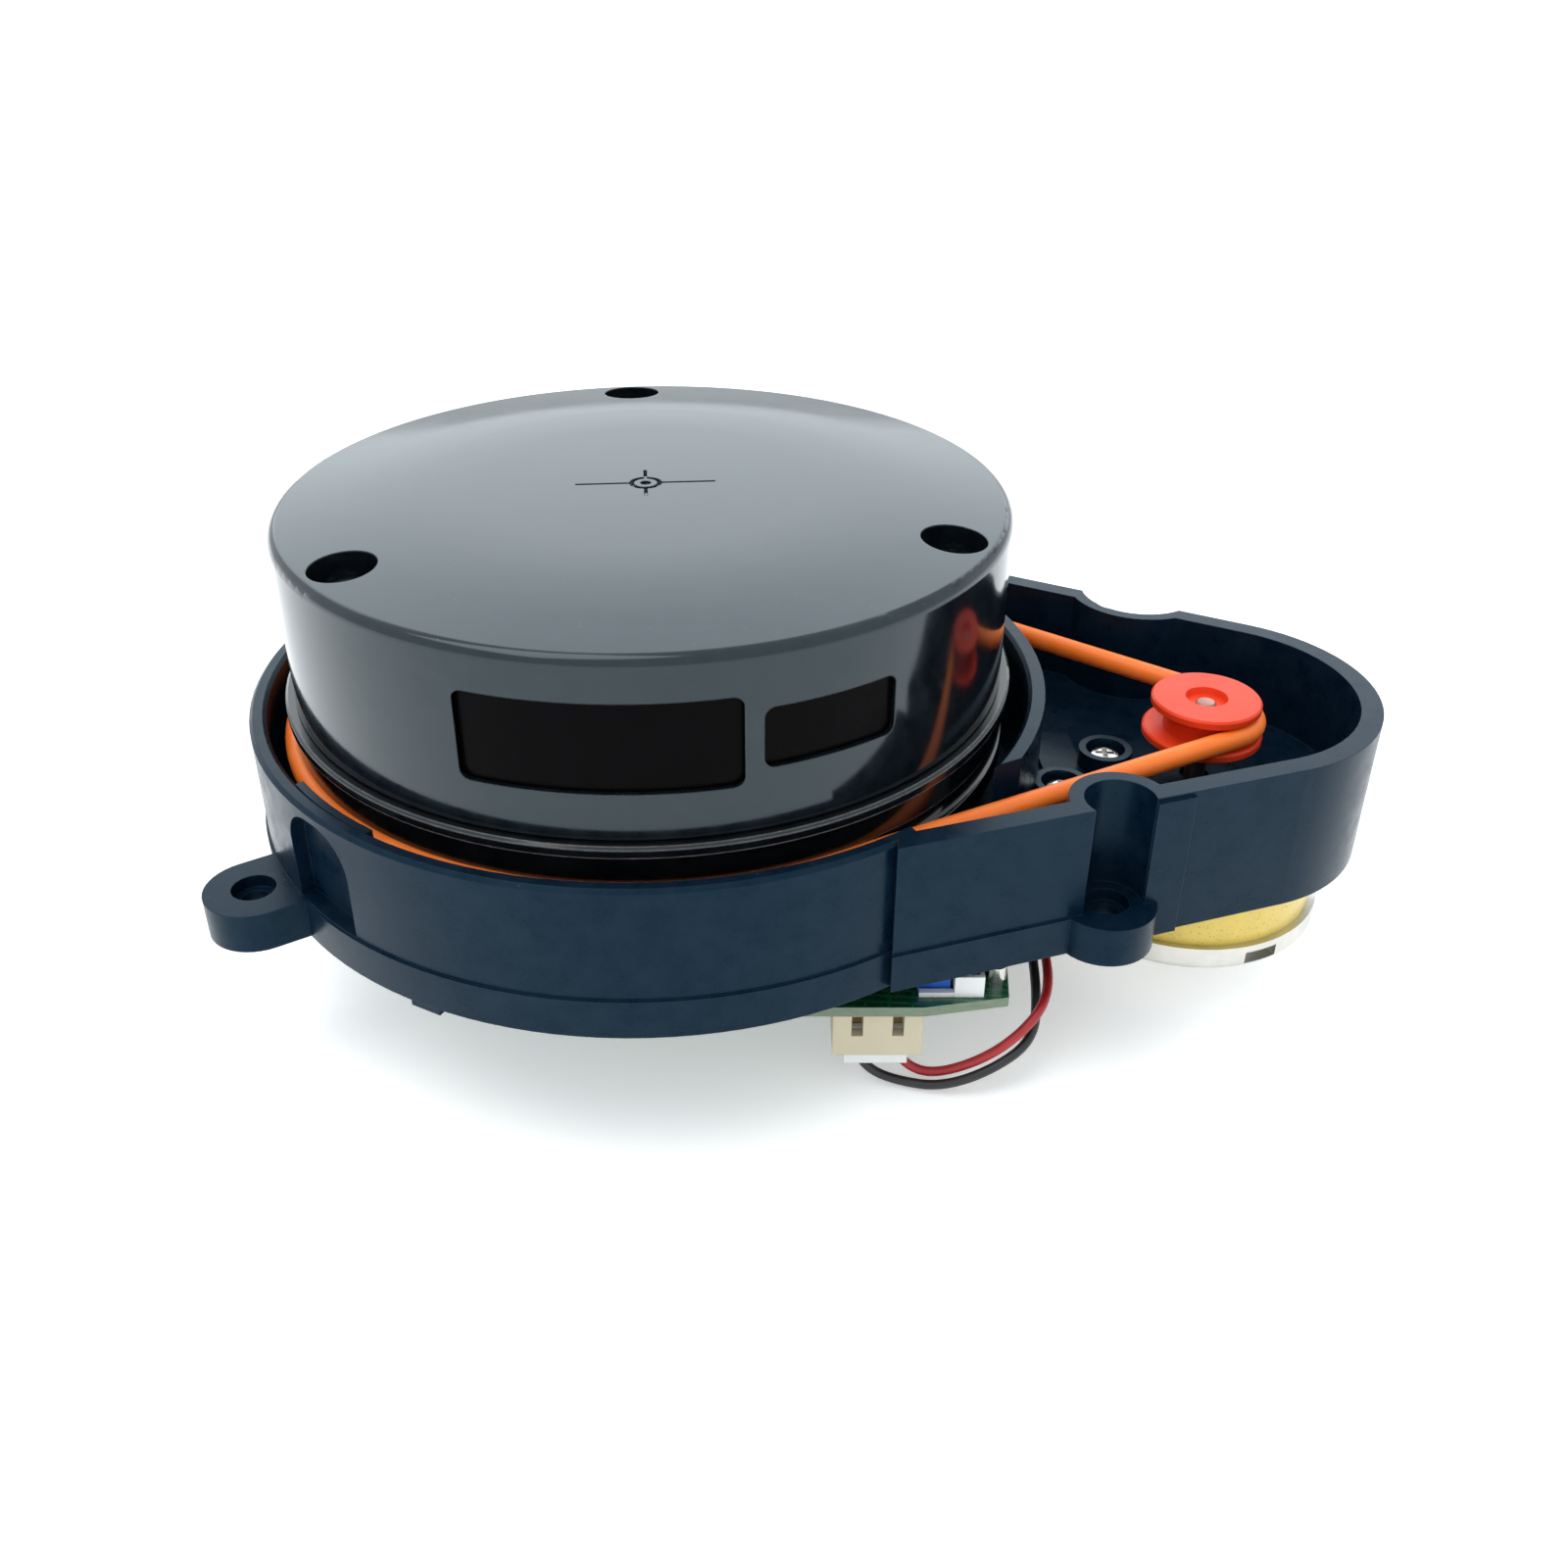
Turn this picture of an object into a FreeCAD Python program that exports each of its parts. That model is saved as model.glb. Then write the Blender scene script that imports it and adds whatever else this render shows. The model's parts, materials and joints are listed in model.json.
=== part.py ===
import FreeCAD, Part
import math
import os
import re
import Sketcher
from FreeCAD import Placement, Rotation, Vector

# A belt-driven laser distance scanner. A turret turns on a ball bearing inside a ring-shaped base, and
# a small motor in the chamber beside it drives the turret by a round belt.
# Frame: +Z is up along the turret's spin axis, the origin is where that axis meets the plane of the
# lugs' undersides, and the motor lies towards +X. Millimetres and degrees.

SIZES = {
    # whole module
    "turret_top": 32.0,            # turret's top face
    "base_height": 14.4,           # rim of the base
    "ring_radius": 37.8,           # outside of the ring wall
    "ring_wall": 1.55,
    "floor_thickness": 2.0,        # floor of the ring
    "axis_spacing": 53.3,          # turret axis to motor axis
    "end_radius": 15.9,            # outside of the chamber's round end
    "tangent_radius": 37.2,        # circle about the turret axis that the chamber walls touch
    "chamber_start": 24.2,         # X where the chamber walls leave the ring
    "chamber_wall": 2.0,
    "chamber_floor": 5.0,          # top of the chamber floor
    "chamber_floor_thickness": 2.2,
    "skirt_height": 3.7,           # top of the slightly proud band round the foot of the walls
    "skirt_step": 0.25,
    "rim_bevel": 0.35,
    "wall_pad": 0.4,               # slightly thicker stretch of the front wall beside the pocket
    "wall_pad_start": 46.0,
    "wall_pad_end": 49.4,
    "foot_angle": -113.8,          # small foot under the ring wall
    "foot_drop": 1.7,
    # lugs and their screw pockets
    "lug_radius": 4.4,
    "lug_thickness": 3.8,
    "lug_hole": 1.25,
    "lug_counterbore": 1.95,
    "lug_counterbore_depth": 1.2,
    "left_lug_reach": 40.9,
    "left_lug_angle": 218.0,
    "front_lug_x": 42.8,
    "front_lug_inset": 1.1227,      # from the wall's outside to the hole, across the module
    "rear_lug_x": 46.4,
    "rear_lug_inset": 1.1533,
    "pocket_radius": 3.1,
    "pocket_wall": 1.3,
    "rear_pocket_x": 49.3,         # the rear pocket is a wide, shallow arc
    "rear_pocket_outset": 3.111,
    "rear_pocket_radius": 6.0,
    "arch_angle": 229.8,           # arched recess in the ring wall over the left lug
    "arch_width": 8.8,
    "arch_top": 13.4,
    "arch_corner": 3.9,
    "arch_depth": 1.6,
    "arch_backing": 0.75,          # thickening of the ring wall behind the recess
    # belt drive
    "belt_radius": 1.0,
    "belt_height": 11.4,
    "belt_ring_radius": 34.0,      # belt's centre line round the turret
    "belt_pulley_radius": 4.8,     # belt's centre line round the pulley
    "belt_play": 0.05,
    "gate_inner": 2.6,             # belt gates in the ring wall, measured from the belt's centre line
    "gate_outer": 4.0,
    "pulley_top": 13.5,
    "pulley_flange": 5.2,
    "pulley_lower_flange": 5.7,
    "flange_thickness": 0.95,
    "groove_play": 0.3,             # room for the belt between the pulley's flanges
    "pulley_hub": 2.6,
    "shaft_radius": 1.0,
    "bushing_play": 0.03,
    # ball bearing
    "bearing_bore": 8.5,
    "bearing_outside": 13.0,
    "bearing_bottom": 6.0,
    "bearing_width": 5.0,
    "ball_circle": 10.75,
    "ball_radius": 1.38,
    "ball_play": 0.05,
    "race_thickness": 1.3,
    "cage_thickness": 0.6,
    "post_bore": 5.6,
    "clip_thickness": 0.6,
    # turret
    "cover_radius": 33.4,
    "cover_wall": 1.8,
    "cover_bottom": 16.0,
    "cover_edge": 1.0,             # rounding of the cover's top edge
    "crown_radius": 21.1,          # flat middle of the gently domed top
    "crown_height": 1.05,
    "hole_circle": 29.35,
    "hole_angle": 101.8,
    "hole_counterbore": 2.9,
    "hole_seat": 27.7,
    "cover_post": 4.0,
    "cover_post_bottom": 22.0,
    "base_post": 2.15,
    "mark_angle": 9.6,
    "mark_ring": 1.5,
    "mark_reach": 6.35,
    "mark_tick": 3.3,
    "mark_width": 0.32,
    "mark_depth": 0.3,
    "flange_overhang": 0.9,
    "flange_depth": 1.0,
    "spigot_height": 1.6,
    "spigot_wall": 1.6,
    "web_bottom": 8.2,
    "web_thickness": 2.0,
    "hub_wall": 2.4,
    # windows and optics
    "receiver_angle": -88.2,
    "receiver_width": 22.3,
    "receiver_height": 7.9,
    "laser_angle": -55.7,
    "laser_width": 11.9,
    "laser_height": 5.3,
    "window_centre": 24.25,
    "window_corner": 0.9,
    "pane_recess": 0.5,
    "pane_lip": 1.0,               # height of the lip behind the wall, above and below the pane
    "pane_lip_thickness": 0.9,
    "pane_play": 0.05,
    "optics_angle": -78.0,
    "receiver_offset": -5.9,
    "laser_offset": 12.7,
    "receiver_barrel_radius": 4.0,
    "laser_barrel_radius": 2.6,
    "barrel_wall": 0.8,
    "bracket_slab": 2.0,
    # boards
    "rotor_board_radius": 24.5,
    "rotor_board_bottom": 13.0,
    "board_thickness": 1.0,
    "main_board_top": -3.0,
    "standoff_radius": 2.6,
    # power and encoder
    "coil_inner": 18.5,
    "coil_outer": 26.0,
    "coil_thickness": 1.4,
    "ferrite_lip": 1.0,
    "ferrite_thickness": 1.1,
    "encoder_inner": 28.9,
    "encoder_wall": 0.8,
    "encoder_top": 6.6,
    "encoder_slots": 15,
    "encoder_slot_width": 3.0,
    # motor
    "can_radius": 12.2,
    "can_wall": 0.8,
    "can_boss": 3.0,
    "can_boss_height": 1.0,
    "boss_gap": 0.3,
    "shaft_gap": 0.4,              # radial room round the shaft in the floor
    "cap_radius": 13.6,
    "cap_top": -6.4,
    "cap_bottom": -8.9,
    "cap_round": 0.7,
    "band_thickness": 0.7,
    "band_top": 1.2,
    "motor_screw_circle": 8.9,
    "boss_radius": 2.6,
    "boss_bore": 1.9,
    "boss_top": 7.4,
    "boss_depth": 1.6,
    # fasteners
    "screw_play": 0.02,
    # motor connector
    "header_x": 23.3,
    "header_y": -28.05,
    "header_angle": 5.0,
    "header_width": 7.9,
    "header_depth": 5.6,
    "header_height": 5.0,
    "header_wall": 0.95,
    "contact_spacing": 3.6,
    "pin_width": 0.64,
    "contact_width": 1.6,
    "contact_depth": 2.0,
    "lead_radius": 0.45,
    "plug_drop": 1.9,
    "tab_reach": 16.0,
    "tab_spacing": 5.0,
    "tab_height": -7.4,
}

doc = FreeCAD.newDocument("LidarScanner")
sheet = doc.addObject("Spreadsheet::Sheet", "dims")
for row, (alias, value) in enumerate(SIZES.items(), start=1):
    sheet.set(f"A{row}", alias)
    sheet.set(f"B{row}", str(value))
    sheet.setAlias(f"B{row}", alias)
doc.recompute()

NODES = []
UP = Vector(0, 0, 1)


# Sheet helpers: an expression is written with the size names alone.

def in_sheet(expression):
    return re.sub(r"[a-z_]+", lambda w: "dims." + w[0] if w[0] in SIZES else w[0], str(expression))


def number(expression):
    return float(sheet.evalExpression(in_sheet(expression)))


def bind(target, prop, expression):
    target.setExpression(prop, in_sheet(expression))


def put(piece, at=(0, 0, 0), turn=None):
    """Turns a piece about its own origin, then binds that origin's place to the sheet."""
    if turn:
        piece.Placement = Placement(Vector(), turn)
    for axis, expression in zip("xyz", at):
        bind(piece, "Placement.Base." + axis, expression)
    return piece


def about_z(angle):
    return Rotation(UP, number(angle))


def node(label, piece):
    piece.Label = label
    NODES.append(piece)
    return piece


# Primitives and booleans

def cylinder(radius, height, at=(0, 0, 0), turn=None, sweep=360):
    piece = doc.addObject("Part::Cylinder", "Round")
    bind(piece, "Radius", radius)
    bind(piece, "Height", height)
    bind(piece, "Angle", sweep)
    return put(piece, at, turn)


def torus(ring, tube, height):
    piece = doc.addObject("Part::Torus", "Torus")
    bind(piece, "Radius1", ring)
    bind(piece, "Radius2", tube)
    return put(piece, (0, 0, height))


def block(length, width, height, at=(0, 0, 0), angle=0):
    """A box centred on its place in its own X and Y, turned about Z."""
    piece = doc.addObject("Part::Box", "Block")
    bind(piece, "Length", length)
    bind(piece, "Width", width)
    bind(piece, "Height", height)
    cos_half = f"cos({angle}) / 2"
    sin_half = f"sin({angle}) / 2"
    x = f"({at[0]}) - ({length}) * {cos_half} + ({width}) * {sin_half}"
    y = f"({at[1]}) - ({length}) * {sin_half} - ({width}) * {cos_half}"
    return put(piece, (x, y, at[2]), about_z(angle))


def fuse(*pieces):
    if len(pieces) == 1:
        return pieces[0]
    joined = doc.addObject("Part::MultiFuse", "Fused")
    joined.Shapes = list(pieces)
    return joined


def cut(base, *tools):
    left = doc.addObject("Part::Cut", "Trimmed")
    left.Base = base
    left.Tool = fuse(*tools)
    return left


def common(*pieces):
    kept = doc.addObject("Part::MultiCommon", "Shared")
    kept.Shapes = list(pieces)
    return kept


def group(pieces):
    """Separate solids that share one node."""
    together = doc.addObject("Part::Compound", "Group")
    together.Links = pieces
    return together


def copies(master, spots, turn=None):
    """A group of one piece at each spot."""
    links = []
    for spot in spots:
        link = doc.addObject("App::Link", "Copy")
        link.LinkedObject = master
        link.LinkPlacement = Placement(Vector(), turn or Rotation())
        for axis, expression in zip("xyz", spot):
            bind(link, "LinkPlacement.Base." + axis, expression)
        links.append(link)
    return group(links)


def polar(radius, angle, height, about=(0, 0)):
    return (f"{about[0]} + {radius} * cos({angle})", f"{about[1]} + {radius} * sin({angle})", height)


# Bodies with sketches

def sketch_on(body, plane, outline, holes=(), height=0):
    """A closed outline through (x, y) expressions, and (x, y, radius) holes, on an origin plane."""
    sketch = body.newObject("Sketcher::SketchObject", "Sketch")
    plane_face = next(f for f in body.Origin.OriginFeatures if f.Role == plane)
    sketch.AttachmentSupport = [(plane_face, "")]
    sketch.MapMode = "FlatFace"
    bind(sketch, "AttachmentOffset.Base.z", height)
    points = [Vector(number(x), number(y), 0) for x, y in outline]
    count = len(points)
    for i in range(count):
        sketch.addGeometry(Part.LineSegment(points[i], points[(i + 1) % count]), False)
    for i in range(count):
        sketch.addConstraint(Sketcher.Constraint("Coincident", i, 2, (i + 1) % count, 1))
    for i, pair in enumerate(outline):
        pin(sketch, i, 1, pair, points[i])
    for x, y, radius in holes:
        centre = Vector(number(x), number(y), 0)
        edge = sketch.addGeometry(Part.Circle(centre, UP, number(radius)), False)
        pin(sketch, edge, 3, (x, y), centre)
        size = sketch.addConstraint(Sketcher.Constraint("Radius", edge, number(radius)))
        bind(sketch, f"Constraints[{size}]", radius)
    return sketch


def pin(sketch, geometry, end, pair, point):
    """Ties one point of a sketch to the sheet, across and up from the sketch's origin."""
    for kind, expression, value in (("DistanceX", pair[0], point.x), ("DistanceY", pair[1], point.y)):
        index = sketch.addConstraint(Sketcher.Constraint(kind, -1, 1, geometry, end, value))
        bind(sketch, f"Constraints[{index}]", expression)


def turned(outline, about=(0, 0)):
    """A body revolved about Z from an outline of (radius, height)."""
    body = doc.addObject("PartDesign::Body", "Turned")
    sketch = sketch_on(body, "XZ_Plane", outline)
    spin = body.newObject("PartDesign::Revolution", "Spin")
    spin.Profile = sketch
    spin.ReferenceAxis = (sketch, ["V_Axis"])
    spin.Angle = 360
    body.Tip = spin
    return put(body, (about[0], about[1], 0))


def ring(outer, inner, bottom, top, about=(0, 0)):
    return turned([(inner, bottom), (outer, bottom), (outer, top), (inner, top)], about)


def plate(outline, bottom, thickness, holes=()):
    """A body padded up from an outline of (x, y)."""
    body = doc.addObject("PartDesign::Body", "Plate")
    sketch = sketch_on(body, "XY_Plane", outline, holes, bottom)
    pad = body.newObject("PartDesign::Pad", "Pad")
    pad.Profile = sketch
    bind(pad, "Length", thickness)
    body.Tip = pad
    return body


def rounded(body, radius, keep):
    """Rounds the edges of a body's tip that pass a test."""
    doc.recompute()
    base = body.Tip
    names = [f"Edge{i}" for i, edge in enumerate(base.Shape.Edges, start=1) if keep(edge)]
    fillet = body.newObject("PartDesign::Fillet", "Rounding")
    fillet.Base = (base, names)
    bind(fillet, "Radius", radius)
    body.Tip = fillet
    return body


def along_x(edge):
    return edge.Curve.TypeId == "Part::GeomLine" and abs(abs(edge.Curve.Direction.x) - 1) < 1e-6


def circle_at(radius, height):
    def test(edge):
        curve = edge.Curve
        round_edge = curve.TypeId == "Part::GeomCircle"
        return round_edge and abs(curve.Radius - radius) < 1e-4 and abs(curve.Center.z - height) < 1e-4
    return test


def screw(head, head_height, shank, length):
    """A cross-recessed pan-head screw: underside of the head at Z = 0, shank downwards."""
    crown = head_height / 4
    body = turned([(0, -length), (shank * 0.6, -length), (shank, -length + shank * 0.6), (shank, 0), (head, 0),
                   (head, head_height - 2 * crown), (head - crown, head_height - crown / 2),
                   (head * 0.5, head_height), (0, head_height)])
    slot_width = head * 0.28
    slots = [block(head * 1.15, slot_width, head_height, (0, 0, head_height * 0.45), angle) for angle in (0, 90)]
    return cut(body, *slots)


# Base housing

CHAMBER_SIN = "((tangent_radius - end_radius) / axis_spacing)"
CHAMBER_COS = f"sqrt(1 - {CHAMBER_SIN} * {CHAMBER_SIN})"
MOTOR = ("axis_spacing", 0)


def wall_y(x, inset=0):
    """Half-width of the chamber's straight wall at x, moved in by inset."""
    return f"((tangent_radius - ({inset}) - ({x}) * {CHAMBER_SIN}) / {CHAMBER_COS})"


def chamber(inset, bottom, top, start):
    """The chamber's outline as a solid: straight walls tangent to a round end."""
    touch_x = f"axis_spacing + (end_radius - ({inset})) * {CHAMBER_SIN}"
    touch_y = f"(end_radius - ({inset})) * {CHAMBER_COS}"
    outline = [(start, f"-{wall_y(start, inset)}"), (touch_x, f"-{touch_y}"), (touch_x, touch_y),
               (start, wall_y(start, inset))]
    height = f"({top}) - ({bottom})"
    end = cylinder(f"end_radius - ({inset})", height, (*MOTOR, bottom))
    return fuse(plate(outline, bottom, height), end)


LUGS = (
    ("left_lug_reach * cos(left_lug_angle)", "left_lug_reach * sin(left_lug_angle)"),
    ("front_lug_x", f"(front_lug_inset - {wall_y('front_lug_x')})"),
    ("rear_lug_x", f"({wall_y('rear_lug_x')} - rear_lug_inset)"),
)
REAR_POCKET = ("rear_pocket_x", f"({wall_y('rear_pocket_x')} + rear_pocket_outset)")
CAN_TOP = "(chamber_floor - chamber_floor_thickness)"
STANDOFFS = ((-20, -12), (6, 24), (24, -14))
MOTOR_SCREWS = [polar("motor_screw_circle", angle, "boss_top - boss_depth", MOTOR) for angle in (180, 60, -60)]
FLOOR_SCREW = (39.6, -6.6, "boss_top - boss_depth")
BOSSES = MOTOR_SCREWS + [FLOOR_SCREW]
BELT_SIN = "((belt_ring_radius - belt_pulley_radius) / axis_spacing)"
BELT_ANGLE = f"asin({BELT_SIN})"


def belt_gate(side):
    """The slot through the ring wall that one run of the belt passes."""
    angle = f"{-side} * {BELT_ANGLE}"
    run = "sqrt(ring_radius * ring_radius - belt_ring_radius * belt_ring_radius)"
    width = "(gate_inner + gate_outer)"
    offset = f"(belt_ring_radius + (gate_outer - gate_inner) / 2)"
    x = f"{offset} * {BELT_SIN} + ({run} - 2) * cos({BELT_ANGLE})"
    y = f"{side} * ({offset} * cos({BELT_ANGLE}) - ({run} - 2) * {BELT_SIN})"
    return block("16", width, "base_height", (x, y, "floor_thickness"), angle)


def make_housing():
    bevel = "rim_bevel"
    outside = turned([(0, 0), ("ring_radius + skirt_step", 0), ("ring_radius + skirt_step", "skirt_height"),
                      ("ring_radius", "skirt_height"), ("ring_radius", f"base_height - {bevel}"),
                      (f"ring_radius - {bevel}", "base_height"), (0, "base_height")])
    skirt_ends = ("chamber_start", "front_lug_x")
    skirt = [(x, f"-{wall_y(x, '-skirt_step')}") for x in skirt_ends]
    skirt += [(x, wall_y(x, "-skirt_step")) for x in reversed(skirt_ends)]
    solids = [outside, chamber(0, 0, "base_height", "chamber_start"), plate(skirt, 0, "skirt_height")]
    pad_ends = ("wall_pad_start", "wall_pad_end")
    pad_out = [(x, f"-{wall_y(x, '-wall_pad')}") for x in pad_ends]
    pad_in = [(x, f"-{wall_y(x, 1)}") for x in reversed(pad_ends)]
    solids.append(plate(pad_out + pad_in, 0, f"base_height - {bevel}"))
    solids += [cylinder("lug_radius", "lug_thickness", (x, y, 0)) for x, y in LUGS]
    left_x, left_y = LUGS[0]
    neck = "(left_lug_reach - lug_radius) / left_lug_reach"
    middle = (f"({left_x}) * {neck}", f"({left_y}) * {neck}", 0)
    solids.append(block("lug_radius * 2", "lug_radius * 2", "lug_thickness", middle, "left_lug_angle"))
    foot_x, foot_y, foot_z = polar("(ring_radius - 1.6)", "foot_angle", "-foot_drop")
    solids.append(block(1.6, 3.0, "foot_drop + 0.5", (foot_x, foot_y, foot_z), "foot_angle"))

    inner_bevel = f"ring_radius - ring_wall + {bevel}"
    ring_room = turned([(0, "floor_thickness"), ("ring_radius - ring_wall", "floor_thickness"),
                        ("ring_radius - ring_wall", f"base_height - {bevel}"), (inner_bevel, "base_height"),
                        (inner_bevel, "base_height + 1"), (0, "base_height + 1")])
    ring_core = cylinder("ring_radius", "base_height * 2", (0, 0, "-base_height / 2"))
    room = chamber("chamber_wall", "chamber_floor", "base_height + 1", 15)
    chamber_room = cut(room, ring_core)
    gates = common(fuse(belt_gate(1), belt_gate(-1)),
                   chamber("chamber_wall", "chamber_floor", "base_height + 1", 15))
    under = cut(chamber("chamber_wall", -1, "chamber_floor - chamber_floor_thickness", 15),
                cylinder("ring_radius", "base_height", (0, 0, "-base_height / 2")))
    shell = cut(fuse(*solids), ring_room, chamber_room, gates, under)

    # pocket liners stand inside the wall, clipped to its outline
    front_liner = cylinder("pocket_radius + pocket_wall", "base_height", (*LUGS[1], 0))
    rear_liner = cylinder("rear_pocket_radius + pocket_wall", "base_height", (*REAR_POCKET, 0))
    liners = common(fuse(front_liner, rear_liner), chamber(0, 0, "base_height", "chamber_start"))
    backing_x, backing_y, backing_z = polar("(ring_radius - ring_wall)", "arch_angle", "floor_thickness")
    backing = common(block(4, "arch_width + 2", "arch_top + 0.6 - floor_thickness",
                           (backing_x, backing_y, backing_z), "arch_angle"),
                     ring("ring_radius - 0.5", "ring_radius - ring_wall - arch_backing", "floor_thickness", "arch_top + 0.6"))
    left_arch = arch()
    post = turned([("post_bore", 0.5), ("bearing_bore + cage_thickness + 0.2", 0.5),
                   ("bearing_bore + cage_thickness + 0.2", "bearing_bottom"), ("bearing_bore", "bearing_bottom"),
                   ("bearing_bore", "bearing_bottom + bearing_width"),
                   ("bearing_bore - 0.4", "bearing_bottom + bearing_width"),
                   ("bearing_bore - 0.4", "bearing_bottom + bearing_width + clip_thickness"),
                   ("bearing_bore", "bearing_bottom + bearing_width + clip_thickness"),
                   ("bearing_bore", "bearing_bottom + bearing_width + 1.2"),
                   ("post_bore", "bearing_bottom + bearing_width + 1.2")])
    standoffs = [cylinder("standoff_radius", "1 - main_board_top", (x, y, "main_board_top"))
                 for x, y in STANDOFFS]
    boss_height = "boss_top - chamber_floor + 1"
    bosses = [cylinder("boss_radius", boss_height, (x, y, "chamber_floor - 1")) for x, y, z in BOSSES]
    rest_pad = block(4.0, 9.0, 1.6, (40.0, 1.5, "chamber_floor - 1"), 8)
    whole = fuse(shell, liners, backing, post, rest_pad, *standoffs, *bosses)

    lug_room = [cylinder("pocket_radius", "base_height", (*LUGS[1], "lug_thickness")),
                cylinder("rear_pocket_radius", "base_height", (*REAR_POCKET, "lug_thickness"))]
    lug_holes = [cylinder("lug_hole", "base_height", (x, y, -1)) for x, y in LUGS]
    seat_z = "lug_thickness - lug_counterbore_depth"
    lug_seats = [cylinder("lug_counterbore", "base_height", (x, y, seat_z)) for x, y in LUGS]
    board_pilots = [cylinder("0.9 + screw_play", 5, (x, y, "main_board_top - 1")) for x, y in STANDOFFS]
    boss_bores = [cylinder("boss_bore", "base_height", spot) for spot in BOSSES]
    boss_pilots = [cylinder("1 + screw_play", 10, (x, y, "boss_top - 9")) for x, y, z in BOSSES]
    seat_top = f"({CAN_TOP} + can_boss_height + 0.4)"
    boss_seat = cylinder("can_boss + boss_gap", f"{seat_top} - 1", (*MOTOR, 1))
    shaft_hole = cylinder("shaft_radius + shaft_gap", 6, (*MOTOR, 1))
    link_hole = cylinder(3.2, 4, (0, 0, -1))
    return cut(whole, left_arch, *lug_room, *lug_holes, *lug_seats, *board_pilots, *boss_bores, *boss_pilots,
               boss_seat, shaft_hole, link_hole)


def arch():
    """Arch-topped recess in the ring wall, which leaves room for the left lug's screw head."""
    reach = 4
    x, y, z = polar(f"(ring_radius - arch_depth + {reach} / 2)", "arch_angle", "lug_thickness")
    full = f"arch_top - lug_thickness - arch_corner"
    pieces = [block(reach, "arch_width", full, (x, y, z), "arch_angle"),
              block(reach, "arch_width - 2 * arch_corner", "arch_top - lug_thickness", (x, y, z), "arch_angle")]
    start_x, start_y, start_z = polar("(ring_radius - arch_depth)", "arch_angle", "arch_top - arch_corner")
    half = "(arch_width / 2 - arch_corner)"
    lay_down = about_z("arch_angle") * Rotation(Vector(0, 1, 0), 90)
    for side in (-1, 1):
        corner = (f"{start_x} - {side} * {half} * sin(arch_angle)",
                  f"{start_y} + {side} * {half} * cos(arch_angle)", start_z)
        pieces.append(cylinder("arch_corner", reach, corner, lay_down))
    return fuse(*pieces)


housing = node("base_housing", make_housing())


# Bearing: races, balls, cage and clip

BEARING_TOP = "bearing_bottom + bearing_width"
BALL_HEIGHT = "(bearing_bottom + bearing_width / 2)"
BALLS = 13


def make_bearing():
    groove = torus("ball_circle", "ball_radius + ball_play", BALL_HEIGHT)
    inner = ring("bearing_bore + race_thickness", "bearing_bore", "bearing_bottom", BEARING_TOP)
    node("bearing_inner_race", cut(inner, groove))
    groove = torus("ball_circle", "ball_radius + ball_play", BALL_HEIGHT)
    outer = ring("bearing_outside", "bearing_outside - race_thickness", "bearing_bottom", BEARING_TOP)
    node("bearing_outer_race", cut(outer, groove))
    ball = doc.addObject("Part::Sphere", "Ball")
    bind(ball, "Radius", "ball_radius")
    spots = [polar("ball_circle", f"{i} * 360 / {BALLS}", BALL_HEIGHT) for i in range(BALLS)]
    node("bearing_balls", copies(ball, spots))
    cage = ring("ball_circle + cage_thickness / 2", "ball_circle - cage_thickness / 2",
                f"{BALL_HEIGHT} - 0.3", f"{BEARING_TOP} - 0.3")
    holes = []
    for x, y, z in spots:
        hole = doc.addObject("Part::Sphere", "BallRoom")
        bind(hole, "Radius", "ball_radius + ball_play")
        holes.append(put(hole, (x, y, z)))
    node("bearing_cage", cut(cage, *holes))
    clip = ring("bearing_bore + 1.0", "bearing_bore - 0.35", BEARING_TOP, f"{BEARING_TOP} + clip_thickness")
    node("bearing_clip", cut(clip, block(8, 4, 4, ("-bearing_bore", 0, BEARING_TOP))))


make_bearing()


# Power transfer, encoder and data link

def make_power_pair():
    lip_in = "coil_inner - ferrite_lip"
    lip_out = "coil_outer + ferrite_lip"
    low = "floor_thickness"
    node("stator_ferrite", ring(lip_out, lip_in, low, f"{low} + ferrite_thickness"))
    coil_low = "(floor_thickness + ferrite_thickness)"
    node("stator_coil", ring("coil_outer", "coil_inner", coil_low, f"{coil_low} + coil_thickness"))
    ferrite_low = "(web_bottom - ferrite_thickness)"
    node("rotor_ferrite", ring(lip_out, lip_in, ferrite_low, "web_bottom"))
    node("rotor_coil", ring("coil_outer", "coil_inner", f"{ferrite_low} - coil_thickness", ferrite_low))


def make_encoder():
    body = ring("encoder_inner + encoder_wall", "encoder_inner", "floor_thickness", "encoder_top")
    doc.recompute()
    half = "encoder_slot_width / 2"
    outline = [(f"-{half}", "floor_thickness + 1.4"), (half, "floor_thickness + 1.4"),
               (half, "encoder_top + 1"), (f"-{half}", "encoder_top + 1")]
    sketch = sketch_on(body, "XZ_Plane", outline)
    pocket = body.newObject("PartDesign::Pocket", "Slot")
    pocket.Profile = sketch
    pocket.Type = 1
    doc.recompute()
    pattern = body.newObject("PartDesign::PolarPattern", "Slots")
    pattern.Originals = [pocket]
    pattern.Axis = (sketch, ["V_Axis"])
    pattern.Angle = 360
    bind(pattern, "Occurrences", "encoder_slots")
    body.Tip = pattern
    node("encoder_ring", body)
    middle = "(encoder_inner + encoder_wall / 2)"
    jaw = block(4.2, 4.0, "web_bottom - 4.4", (middle, 0, 4.4))
    gap = block("encoder_wall + 0.9", 6.0, "encoder_top + 0.5 - 4.4 + 1", (middle, 0, 3.4))
    node("photo_interrupter", cut(jaw, gap))


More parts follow.
